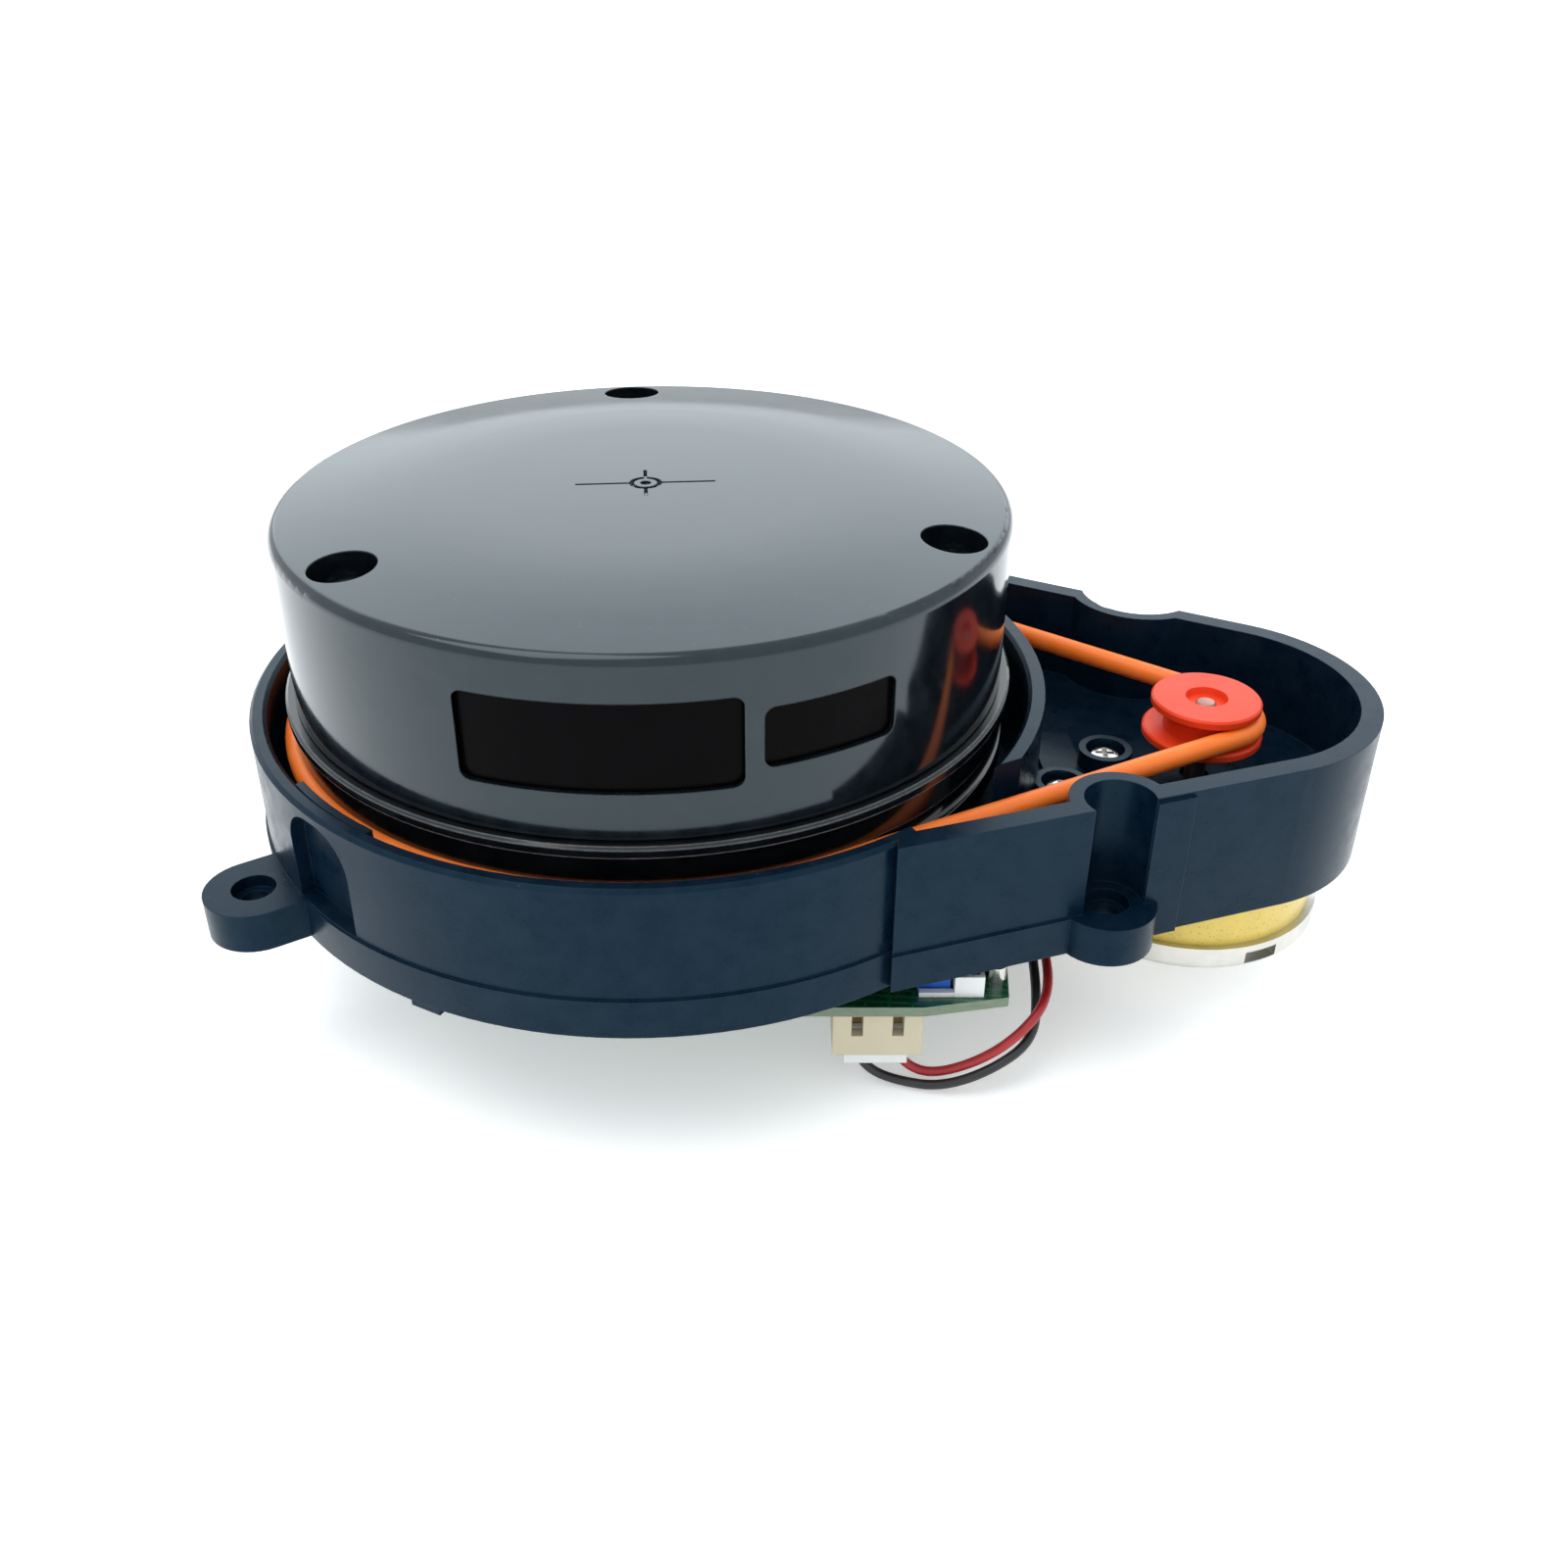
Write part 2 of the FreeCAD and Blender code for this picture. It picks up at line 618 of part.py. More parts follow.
def make_link():
    stem = "1.2"
    node("link_receiver", turned([(0, "main_board_top"), (2.5, "main_board_top"),
                                  (2.5, 1.6), (1.9, 3.2), (0, 3.9), ]))
    low = 8.4
    node("link_emitter", turned([(0, low), (1.6, f"{low} + 0.5"), (2.4, f"{low} + {stem}"),
                                 (2.4, "rotor_board_bottom"), (0, "rotor_board_bottom")]))


make_power_pair()
make_encoder()
make_link()


# Turret: base, cover, screws and windows

COVER_INSIDE = "(cover_radius - cover_wall)"
HOLES = [polar("hole_circle", f"(hole_angle + {120 * i})", 0) for i in range(3)]
ROTOR_SPOTS = [polar(20.0, angle, "rotor_board_bottom") for angle in (20, 140, 200)]


def make_turret_base():
    drum = "(belt_ring_radius - 0.1)"
    flange = "(cover_radius + flange_overhang)"
    spigot = f"({COVER_INSIDE} - pane_play)"
    inside = f"({spigot} - spigot_wall)"
    web_top = "(web_bottom + web_thickness)"
    hub = "(bearing_outside + hub_wall)"
    shoulder = "(bearing_outside - race_thickness + 0.1)"
    low_flange = "cover_bottom - flange_depth"
    outline = [("bearing_outside", "bearing_bottom"), (hub, "bearing_bottom"), (hub, "web_bottom"),
               (drum, "web_bottom"), (drum, low_flange), (flange, low_flange),
               (flange, "cover_bottom - 0.25"), (f"{flange} - 0.25", "cover_bottom"), (spigot, "cover_bottom"),
               (spigot, "cover_bottom + spigot_height"), (inside, "cover_bottom + spigot_height"),
               (inside, web_top), (hub, web_top), (hub, f"{BEARING_TOP} + 1.2"), (shoulder, f"{BEARING_TOP} + 1.2"),
               (shoulder, BEARING_TOP), ("bearing_outside", BEARING_TOP)]
    groove = torus("belt_ring_radius", "belt_radius + belt_play", "belt_height")
    posts = [cylinder("base_post", f"cover_post_bottom - {web_top} + 1", (x, y, f"{web_top} - 1"))
             for x, y, z in HOLES]
    board_posts = [cylinder(2.4, f"{z} - {web_top} + 1", (x, y, f"{web_top} - 1")) for x, y, z in ROTOR_SPOTS]
    pilots = [cylinder("1.15 + screw_play", 8, (x, y, "cover_post_bottom - 7")) for x, y, z in HOLES]
    pilots += [cylinder("0.9 + screw_play", 5, (x, y, f"{z} - 4.2")) for x, y, z in ROTOR_SPOTS]
    joined = fuse(turned(outline), *posts, *board_posts)
    node("turret_base", cut(joined, groove, *pilots))


def window_block(width, height, depth, angle, corner):
    """A rounded bar through the cover's wall, pointing outwards at the given angle."""
    body = doc.addObject("PartDesign::Body", "Window")
    y = f"({width}) / 2"
    low = f"window_centre - ({height}) / 2"
    high = f"window_centre + ({height}) / 2"
    outline = [(f"-{y}", low), (y, low), (y, high), (f"-{y}", high)]
    sketch = sketch_on(body, "YZ_Plane", outline, (), f"cover_radius - ({depth})")
    pad = body.newObject("PartDesign::Pad", "Pad")
    pad.Profile = sketch
    bind(pad, "Length", f"({depth}) + 2")
    body.Tip = pad
    rounded(body, corner, along_x)
    return put(body, (0, 0, 0), about_z(angle))


WINDOWS = (("receiver_window", "receiver_width", "receiver_height", "receiver_angle"),
           ("laser_window", "laser_width", "laser_height", "laser_angle"))


def make_cover():
    top = "turret_top"
    crown = f"({top} + crown_height)"
    ceiling = f"({crown} - cover_wall)"
    shell = turned([(COVER_INSIDE, "cover_bottom"), ("cover_radius - 0.2", "cover_bottom"),
                    ("cover_radius", "cover_bottom + 0.2"), ("cover_radius", crown), (0, crown), (0, ceiling),
                    (COVER_INSIDE, ceiling)])
    # the dome is a sphere through the cover's edge and the edge of its flat middle
    drop = "((cover_radius * cover_radius - crown_radius * crown_radius) / crown_height - crown_height) / 2"
    dome = doc.addObject("Part::Sphere", "Dome")
    bind(dome, "Radius", f"sqrt(({drop}) * ({drop}) + cover_radius * cover_radius)")
    put(dome, (0, 0, f"{top} - ({drop})"))
    edge_low = f"({top} - cover_edge + cover_edge * cover_radius / ({drop}))"
    edge_ring = "(cover_radius - cover_edge)"
    shaving = cut(ring("cover_radius + 1", edge_ring, edge_low, f"{crown} + 1"),
                  torus(edge_ring, "cover_edge", edge_low))
    shell = cut(common(shell, dome), shaving)
    posts = [cylinder("cover_post", f"{ceiling} + 0.2 - cover_post_bottom", (x, y, "cover_post_bottom"))
             for x, y, z in HOLES]
    outline = cylinder("cover_radius - cover_wall / 2", 20, (0, 0, "cover_post_bottom"))
    counterbores = [cylinder("hole_counterbore", 10, (x, y, "hole_seat")) for x, y, z in HOLES]
    holes = [cylinder("1.15 + screw_play", 10, (x, y, "cover_post_bottom - 1")) for x, y, z in HOLES]
    windows = [window_block(width, height, 6, angle, "window_corner") for name, width, height, angle in WINDOWS]
    joined = fuse(shell, common(fuse(*posts), outline))
    node("turret_cover", cut(joined, *counterbores, *holes, *windows, make_mark()))
    master = screw(2.1, 1.5, 1.15, 10.6)
    node("cover_screws", copies(master, [(x, y, "hole_seat") for x, y, z in HOLES]))


def make_mark():
    """Engraved alignment mark: a small ring with a centre dot, two long arms and two ticks."""
    low = "turret_top + crown_height - mark_depth"
    circle = ring("mark_ring", "mark_ring - mark_width * 1.4", low, "turret_top + crown_height + 1")
    dot = cylinder("mark_ring / 3", 2, (0, 0, low))
    strokes = []
    for reach, turn in (("mark_reach", 0), ("mark_reach", 180), ("mark_tick", 90), ("mark_tick", 270)):
        length = f"({reach} - mark_ring + 0.1)"
        x, y, z = polar(f"(mark_ring - 0.1 + {length} / 2)", f"(mark_angle + {turn})", low)
        strokes.append(block(length, "mark_width", 2, (x, y, z), f"mark_angle + {turn}"))
    return fuse(circle, dot, *strokes)


def make_windows():
    outside = "(cover_radius - pane_recess)"
    lip_outside = f"({COVER_INSIDE} - pane_play)"
    inside = f"({lip_outside} - pane_lip_thickness)"
    for name, width, height, angle in WINDOWS:
        snug = window_block(f"{width} - 2 * pane_play", f"{height} - 2 * pane_play", 6, angle, "window_corner")
        pane = common(snug, ring(outside, inside, "window_centre - 8", "window_centre + 8"))
        taller = window_block(f"{width} - 2 * pane_play", f"{height} + 2 * pane_lip", 8, angle, "window_corner")
        lip = common(taller, ring(lip_outside, inside, "window_centre - 8", "window_centre + 8"))
        node(name, fuse(pane, lip))


make_turret_base()
make_cover()
make_windows()


# Rotor board and optics. The optics are made looking along +X, then turned to their angle.

BOARD_TOP = "(rotor_board_bottom + board_thickness)"
LOOK = about_z("optics_angle")
FORWARD = Rotation(Vector(0, 1, 0), 90)
BRACKET_SPOTS = ((18.0, 4.6), (9.6, 4.6))
BARRELS = (("receiver", "receiver_offset", "receiver_barrel_radius", 15.0, 28.6),
           ("laser", "laser_offset", "laser_barrel_radius", 14.0, 25.0))


def aimed(*pieces):
    """The pieces as one group, turned to the direction that the optics look."""
    together = group(list(pieces))
    together.Placement = Placement(Vector(), LOOK)
    return together


def round_bar(radius, start, end, offset):
    return cylinder(radius, f"({end}) - ({start})", (start, offset, "window_centre"), FORWARD)


def make_rotor_board():
    spots = [(x, y) for x, y, z in ROTOR_SPOTS]
    disc = cylinder("rotor_board_radius", "board_thickness", (0, 0, "rotor_board_bottom"))
    holes = [cylinder("0.9 + screw_play", 6, (x, y, "rotor_board_bottom - 1")) for x, y in spots]
    bracket_holes = [cylinder("0.9 + screw_play", 6, (x, y, "rotor_board_bottom - 1"))
                     for x, y in BRACKET_SPOTS]
    node("rotor_board", cut(disc, *holes, aimed(*bracket_holes)))
    master = screw(1.7, 1.1, 0.9, 4.6)
    node("rotor_board_screws", copies(master, [(x, y, BOARD_TOP) for x, y in spots]))
    chip = (-9, 3, BOARD_TOP)
    node("rotor_processor", fuse(block(7, 7, 1.0, chip), block(8.2, 5.6, 0.35, chip), block(5.6, 8.2, 0.35, chip)))
    weight = common(ring(23.5, 17.5, BOARD_TOP, f"{BOARD_TOP} + 4"),
                    block(14, 16, 6, (20.0, 0, BOARD_TOP)))
    weight.Placement = Placement(Vector(), about_z("optics_angle + 180 - 14"))
    node("balance_weight", weight)


def make_optics():
    lens_height = "window_centre"
    slab = block(15, 30, "bracket_slab", (14.5, 3.4, BOARD_TOP))
    towers = [block(9, 10.6, f"{lens_height} + 5 - {BOARD_TOP}", (16.5, "receiver_offset", BOARD_TOP)),
              block(9, 8.0, f"{lens_height} + 4 - {BOARD_TOP}", (14.5, "laser_offset", BOARD_TOP))]
    bores = [round_bar("receiver_barrel_radius", 5, 30, "receiver_offset"),
             round_bar("laser_barrel_radius", 5, 30, "laser_offset")]
    pilots = [cylinder("0.9 + screw_play", 8, (x, y, "rotor_board_bottom - 2")) for x, y in BRACKET_SPOTS]
    bracket = cut(fuse(slab, *towers), *bores, *pilots)
    node("optics_bracket", aimed(bracket))
    master = screw(1.7, 1.1, 0.9, 2.9)
    slab_top = f"{BOARD_TOP} + bracket_slab"
    node("bracket_screws", aimed(copies(master, [(x, y, slab_top) for x, y in BRACKET_SPOTS])))
    for name, offset, radius, start, end in BARRELS:
        tube = cut(round_bar(radius, start, end, offset),
                   round_bar(f"{radius} - barrel_wall", start - 1, end + 1, offset))
        node(f"{name}_barrel", aimed(tube))
        lens = doc.addObject("Part::Sphere", "Lens")
        bind(lens, "Radius", f"{radius} * 2")
        put(lens, (f"{end} - 0.6 - {radius} * 2", offset, lens_height))
        blank = round_bar(f"{radius} - barrel_wall", end - 3.2, end, offset)
        node(f"{name}_lens", aimed(common(blank, lens)))
    board_low = f"({BOARD_TOP} + bracket_slab)"
    board = block("board_thickness", 10.6, f"{lens_height} + 5 - {board_low}",
                  ("12 - board_thickness / 2", "receiver_offset", board_low))
    node("sensor_board", aimed(board))
    node("image_sensor", aimed(block(1.2, 5.2, 5.2, (12.6, "receiver_offset", f"{lens_height} - 2.6"))))
    can = fuse(round_bar("laser_barrel_radius - 0.2", 10.2, 13.8, "laser_offset"),
               round_bar("laser_barrel_radius + 0.5", 9.0, 10.0, "laser_offset"),
               round_bar(1.2, 9.5, 10.5, "laser_offset"))
    node("laser_diode", aimed(can))


make_rotor_board()
make_optics()


# Belt drive

def make_belt():
    """Two arcs round the wheels and two straight runs, as one closed round section."""
    big = number("belt_ring_radius")
    small = number("belt_pulley_radius")
    spacing = number("axis_spacing")
    height = number("belt_height")
    lean = number(BELT_SIN)
    flat = math.sqrt(1 - lean * lean)

    def touch(radius, centre, side):
        return Vector(centre + radius * lean, side * radius * flat, height)

    edges = [Part.LineSegment(touch(big, 0, -1), touch(small, spacing, -1)).toShape(),
             Part.Arc(touch(small, spacing, -1), Vector(spacing + small, 0, height),
                      touch(small, spacing, 1)).toShape(),
             Part.LineSegment(touch(small, spacing, 1), touch(big, 0, 1)).toShape(),
             Part.Arc(touch(big, 0, 1), Vector(-big, 0, height), touch(big, 0, -1)).toShape()]
    route = Part.Wire(edges)
    start = touch(big, 0, -1)
    section = Part.Wire(Part.makeCircle(number("belt_radius"), start, Vector(flat, lean, 0)))
    belt = doc.addObject("Part::Feature", "Belt")
    belt.Shape = route.makePipeShell([section], True, True)
    print("belt length", round(route.Length, 1))
    return belt


def make_pulley():
    top = "pulley_top"
    groove_top = f"({top} - flange_thickness)"
    groove_low = f"({groove_top} - 2 * belt_radius - groove_play)"
    low = f"({groove_low} - flange_thickness)"
    root = "(belt_pulley_radius - belt_radius - belt_play)"
    bevel = 0.2
    outline = [("shaft_radius", f"{low} - 1"), ("pulley_hub", f"{low} - 1"), ("pulley_hub", low),
               (f"pulley_lower_flange - {bevel}", low), ("pulley_lower_flange", f"{low} + {bevel}"),
               ("pulley_lower_flange", f"{groove_low} - {bevel}"), (f"pulley_lower_flange - {bevel}", groove_low),
               (root, groove_low), (root, groove_top), (f"pulley_flange - {bevel}", groove_top),
               ("pulley_flange", f"{groove_top} + {bevel}"), ("pulley_flange", f"{top} - {bevel}"),
               (f"pulley_flange - {bevel}", top), (2.0, top), (1.85, f"{top} - 0.7"),
               ("shaft_radius", f"{top} - 0.7")]
    node("drive_pulley", turned(outline, MOTOR))
    shaft_top = f"{top} - 0.5"
    node("motor_shaft", turned([(0, "cap_bottom + 0.6"), ("shaft_radius", "cap_bottom + 0.6"),
                                ("shaft_radius", f"{shaft_top} - 0.2"), ("shaft_radius - 0.2", shaft_top),
                                (0, shaft_top)], MOTOR))


node("drive_belt", make_belt())
make_pulley()


# Motor

CAN_INSIDE = "(can_radius - can_wall)"


def make_motor():
    bush = 2.2
    boss_top = f"({CAN_TOP} + can_boss_height)"
    can = turned([(bush, boss_top), (bush, f"{CAN_TOP} - 1"), (CAN_INSIDE, f"{CAN_TOP} - 1"),
                  (CAN_INSIDE, "cap_top"), ("can_radius", "cap_top"), ("can_radius", f"{CAN_TOP} - 0.4"),
                  ("can_radius - 0.4", CAN_TOP), ("can_boss", CAN_TOP), ("can_boss", boss_top)], MOTOR)
    threads = [cylinder("1 + screw_play", 6, (x, y, f"{CAN_TOP} - 3")) for x, y, z in MOTOR_SCREWS]
    node("motor_can", cut(can, *threads))
    node("motor_band", ring("can_radius + band_thickness", "can_radius", "cap_top", "band_top", MOTOR))
    cap = turned([(bush, "cap_bottom"), ("cap_radius", "cap_bottom"), ("cap_radius", "cap_top"),
                  ("can_radius", "cap_top"), (CAN_INSIDE, "cap_top"), (CAN_INSIDE, "cap_top - 0.6"),
                  (bush, "cap_top - 0.6")], MOTOR)
    rounded(cap, "cap_round", circle_at(number("cap_radius"), number("cap_bottom")))
    slot_angle = -62
    x, y, z = polar("cap_radius", slot_angle, "cap_bottom + 0.45", MOTOR)
    tab_rooms = [block(8, 2.0, 0.5, ("axis_spacing - cap_radius", f"{side} * tab_spacing / 2", "tab_height - 0.25"))
                 for side in (-1, 1)]
    node("motor_end_cap", cut(cap, block(3.6, 3.6, 1.3, (x, y, z), slot_angle), *tab_rooms))
    node("motor_magnet", ring(f"{CAN_INSIDE} - 0.02", f"{CAN_INSIDE} - 1.6", "cap_top + 0.6",
                              f"{CAN_TOP} - 1.6", MOTOR))
    hole = "shaft_radius + bushing_play"
    bushings = [ring(bush, hole, f"{CAN_TOP} - 1", f"{boss_top} + 0.2", MOTOR),
                ring(bush, hole, "cap_bottom + 0.3", "cap_top - 0.6", MOTOR)]
    node("motor_bushings", group(bushings))
    tabs = [block("tab_reach - can_radius + 1.5", 1.8, 0.4,
                  ("axis_spacing - (tab_reach + can_radius - 1.5) / 2", f"{side} * tab_spacing / 2",
                   "tab_height - 0.2")) for side in (-1, 1)]
    node("motor_terminals", group(tabs))
    core = f"({CAN_INSIDE} - 1.9)"
    node("motor_armature", turned([("shaft_radius", "cap_top - 0.2"), (2.4, "cap_top - 0.2"),
                                   (2.4, "cap_top + 1.2"), (core, "cap_top + 1.2"), (core, f"{CAN_TOP} - 2.2"),
                                   (2.4, f"{CAN_TOP} - 2.2"), (2.4, f"{CAN_TOP} - 1.4"),
                                   ("shaft_radius", f"{CAN_TOP} - 1.4")], MOTOR))
    master = screw(1.6, 1.1, 1.0, 3.8)
    node("chamber_screws", copies(master, BOSSES))


make_motor()


# Main board and its components

BOARD_LOW = "(main_board_top - board_thickness)"
BOARD_OUTLINE = [(27.3, -28.4), (34.6, -26.4), (34.9, 14.0), (24.0, 26.5), (4.0, 31.0), (-18.0, 26.0),
                 (-30.0, 10.0), (-30.5, -10.0), (-20.0, -25.0), (-2.0, -31.0), (12.0, -29.7)]


# Motor connector. Made with its front face on X and its pins along Z, then turned and moved.

CONTACTS = ("-contact_spacing / 2", "contact_spacing / 2")
HEADER_LOW = f"({BOARD_LOW} - header_height)"
LEAD_END = f"({HEADER_LOW} + 0.9)"      # where the leads meet their contacts


def mated(piece):
    return put(piece, ("header_x", "header_y", 0), about_z("header_angle"))


def make_main_board():
    holes = [(x, y, "0.9 + screw_play") for x, y in STANDOFFS]
    pin_holes = [block("pin_width + 0.02", "pin_width + 0.02", 6, (x, "header_depth / 2", f"{BOARD_LOW} - 1"))
                 for x in CONTACTS]
    board = plate(BOARD_OUTLINE, BOARD_LOW, "board_thickness", holes)
    node("main_board", cut(board, mated(group(pin_holes))))
    master = screw(1.9, 1.3, 0.9, 4.4)
    upside_down = Rotation(Vector(1, 0, 0), 180)
    node("board_screws", copies(master, [(x, y, BOARD_LOW) for x, y in STANDOFFS], upside_down))
    top = "main_board_top"
    chip = (-4, 12, top)
    node("board_processor", fuse(block(9, 9, 1.2, chip), block(10.4, 7.6, 0.4, chip), block(7.6, 10.4, 0.4, chip)))
    node("board_capacitors", group([cylinder(2.0, 2.4, (x, y, top)) for x, y in ((14, 14), (20, 8), (-14, -4))]))
    trimmer = cut(block(2.9, 2.4, 2.2, (28.0, -24.9, top)), block(1.8, 0.4, 0.4, (28.0, -24.9, f"{top} + 1.9"), 30))
    node("blue_trimmer", trimmer)
    crystal = fuse(block(1.9, 2.4, 1.7, (33.5, -22.6, top)), cylinder(0.95, 1.7, (33.5, -21.4, top)),
                   cylinder(0.95, 1.7, (33.5, -23.8, top)))
    node("board_crystal", crystal)
    socket = cut(fuse(block(5.6, 0.6, 0.5, (29.5, -26.5, top), "header_angle"),
                      block(2.6, 2.0, 2.2, (31.0, -25.7, top), "header_angle")),
                 block(1.8, 1.2, 2.0, (31.0, -25.7, f"{top} + 0.5"), "header_angle"))
    node("host_socket", socket)
    spread = [(31.0 + i * 0.45, -25.7 + i * 0.04, top) for i in (-1, 1)]
    node("host_pins", group([cylinder(0.2, 1.5, (x, y, f"{z} + 0.5")) for x, y, z in spread]))


def make_connector():
    middle = "header_depth / 2"
    shell = block("header_width", "header_depth", "header_height", (0, middle, HEADER_LOW))
    cavity = block("header_width - 2 * header_wall", "header_depth - 2 * header_wall", "header_height - 1",
                   (0, middle, f"{HEADER_LOW} - 0.01"))
    slots = [block(1.0, 4.0, 2.2, (x, 0, f"{BOARD_LOW} - 2.8")) for x in CONTACTS]
    holes = [block("pin_width + 0.02", "pin_width + 0.02", 4.0, (x, middle, f"{BOARD_LOW} - 2")) for x in CONTACTS]
    node("motor_header", mated(cut(shell, cavity, *slots, *holes)))
    pins = [block("pin_width", "pin_width", "header_height - 1.2 + board_thickness + 0.7", (x, middle, f"{HEADER_LOW} + 1.2"))
            for x in CONTACTS]
    node("header_pins", mated(group(pins)))
    plug_width = "(header_width - 2 * header_wall - 0.3)"
    plug_depth = "(header_depth - 2 * header_wall - 0.3)"
    plug_low = f"({HEADER_LOW} - plug_drop)"
    body = block(plug_width, plug_depth, f"{BOARD_LOW} - 1.4 - {plug_low}", (0, middle, plug_low))
    rooms = [block("contact_width + 0.1", "contact_depth + 0.1", "header_height + 2",
                   (x, middle, f"{plug_low} - 0.5")) for x in CONTACTS]
    windows = [block(1.0, 4.0, 2.2, (x, "header_wall", f"{BOARD_LOW} - 2.8")) for x in CONTACTS]
    node("motor_plug", mated(cut(body, *rooms, *windows)))
    sleeves = []
    for x in CONTACTS:
        outer = block("contact_width", "contact_depth", 2.7, (x, middle, LEAD_END))
        inner = block("pin_width + 0.04", "pin_width + 0.04", 3.0, (x, middle, f"{LEAD_END} + 0.3"))
        sleeves.append(cut(outer, inner))
    node("plug_contacts", mated(group(sleeves)))


make_main_board()
make_connector()


# Motor leads, from the plug to the motor's terminals

LAID_SPACING = 53.3     # the axis spacing the routes were laid out for
LAID_START = 28.0       # the leads stretch between these two
LAID_END = 37.0
RED_ROUTE = [(24.85, -25.10, -8.1), (24.85, -25.10, -10.5), (26.12, -25.2, -12.54), (28.4, -25.4, -13.2),
             (31.8, -25.9, -11.4), (35.1, -25.8, -8.8), (37.9, -23.9, -6.4), (38.8, -20.3, -5.7),
             (38.5, -15.0, -5.4), (38.3, -8.8, -6.3), (38.4, -3.4, -7.4)]
BLACK_ROUTE = [(21.26, -25.42, -8.1), (21.26, -25.42, -10.7), (22.68, -25.6, -12.9), (25.25, -26.0, -13.7),
               (29.2, -26.8, -13.5), (33.5, -26.8, -11.3), (37.4, -24.5, -9.4), (37.7, -21.2, -6.7),
               (37.2, -16.0, -4.5), (37.3, -9.4, -4.2), (37.9, -3.2, -5.2), (38.5, 1.6, -7.1)]


def follow(x):
    """Moves the far end of a lead with the motor, and leaves the end at the plug where it is."""
    moved = number("axis_spacing") - LAID_SPACING
    share = min(1.0, max(0.0, (x - LAID_START) / (LAID_END - LAID_START)))
    return x + moved * share


def make_lead(name, points):
    """A tube along straight runs joined by tangent arcs."""
    points = [Vector(follow(x), y, z) for x, y, z in points]
    edges = []
    radii = []
    at = points[0]
    for before, corner, after in zip(points, points[1:], points[2:]):
        back = before - corner
        onward = after - corner
        short = min(back.Length, onward.Length)
        half_turn = (math.pi - back.getAngle(onward)) / 2
        radius = 0.45 * short / math.tan(half_turn)
        radii.append(radius)
        back.normalize()
        onward.normalize()
        start = corner + back * 0.45 * short
        end = corner + onward * 0.45 * short
        inward = back + onward
        inward.normalize()
        middle = corner + inward * (radius / math.cos(half_turn) - radius)
        edges += [Part.LineSegment(at, start).toShape(), Part.Arc(start, middle, end).toShape()]
        at = end
    edges.append(Part.LineSegment(at, points[-1]).toShape())
    route = Part.Wire(edges)
    section = Part.Wire(Part.makeCircle(number("lead_radius"), points[0], points[1] - points[0]))
    lead = doc.addObject("Part::Feature", "Lead")
    lead.Shape = route.makePipeShell([section], True, True)
    expected = math.pi * number("lead_radius") ** 2 * route.Length
    print(name, "length", round(route.Length, 1), "radii", [round(r, 1) for r in radii],
          "volume ratio", round(lead.Shape.Volume / expected, 4))
    node(name, lead)


make_lead("red_lead", RED_ROUTE)
make_lead("black_lead", BLACK_ROUTE)


# Check everything, then write one file for each node

doc.recompute()
bad = [f"{o.Name} ({o.Label}): {o.State}" for o in doc.Objects if "Invalid" in o.State or "Error" in o.State]
for piece in NODES:
    shape = piece.Shape
    if shape.isNull() or not shape.isValid() or not shape.Solids:
        bad.append(f"{piece.Label}: bad shape")
if bad:
    raise SystemExit("\n".join(bad))
os.makedirs("parts", exist_ok=True)
for piece in NODES:
    piece.Shape.exportStep(f"parts/{piece.Label}.step")
print(len(NODES), "nodes written")
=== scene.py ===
import json
import math
import random

import bmesh
import bpy
from mathutils import Matrix, Vector


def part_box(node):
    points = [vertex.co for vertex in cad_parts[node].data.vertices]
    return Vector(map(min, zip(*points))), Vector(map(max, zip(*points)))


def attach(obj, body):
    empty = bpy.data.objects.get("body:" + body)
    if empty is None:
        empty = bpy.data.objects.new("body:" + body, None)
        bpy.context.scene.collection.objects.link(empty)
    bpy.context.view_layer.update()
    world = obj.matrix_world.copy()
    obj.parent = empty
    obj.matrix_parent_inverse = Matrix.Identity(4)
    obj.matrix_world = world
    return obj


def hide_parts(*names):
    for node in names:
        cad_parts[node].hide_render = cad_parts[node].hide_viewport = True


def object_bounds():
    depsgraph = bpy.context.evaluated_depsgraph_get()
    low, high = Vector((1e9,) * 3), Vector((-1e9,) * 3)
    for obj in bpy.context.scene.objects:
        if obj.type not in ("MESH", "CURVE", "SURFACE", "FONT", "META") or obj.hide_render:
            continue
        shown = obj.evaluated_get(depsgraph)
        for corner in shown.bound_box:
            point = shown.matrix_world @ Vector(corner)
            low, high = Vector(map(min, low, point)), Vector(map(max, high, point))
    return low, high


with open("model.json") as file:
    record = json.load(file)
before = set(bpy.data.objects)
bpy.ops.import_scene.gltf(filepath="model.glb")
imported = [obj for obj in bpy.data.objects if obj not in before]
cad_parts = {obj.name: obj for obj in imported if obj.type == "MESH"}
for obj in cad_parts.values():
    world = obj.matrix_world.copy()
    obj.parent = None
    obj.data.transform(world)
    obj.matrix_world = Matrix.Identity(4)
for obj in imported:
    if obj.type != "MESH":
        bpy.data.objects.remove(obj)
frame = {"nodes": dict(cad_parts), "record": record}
cad_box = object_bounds()

# A belt-driven laser distance scanner: a glossy turret on a ring-shaped base, and the motor chamber,
# pulley and belt beside it. Metres, in the frame of the CAD model: +Z is up along the turret's axis.

MM = 0.001


# Camera

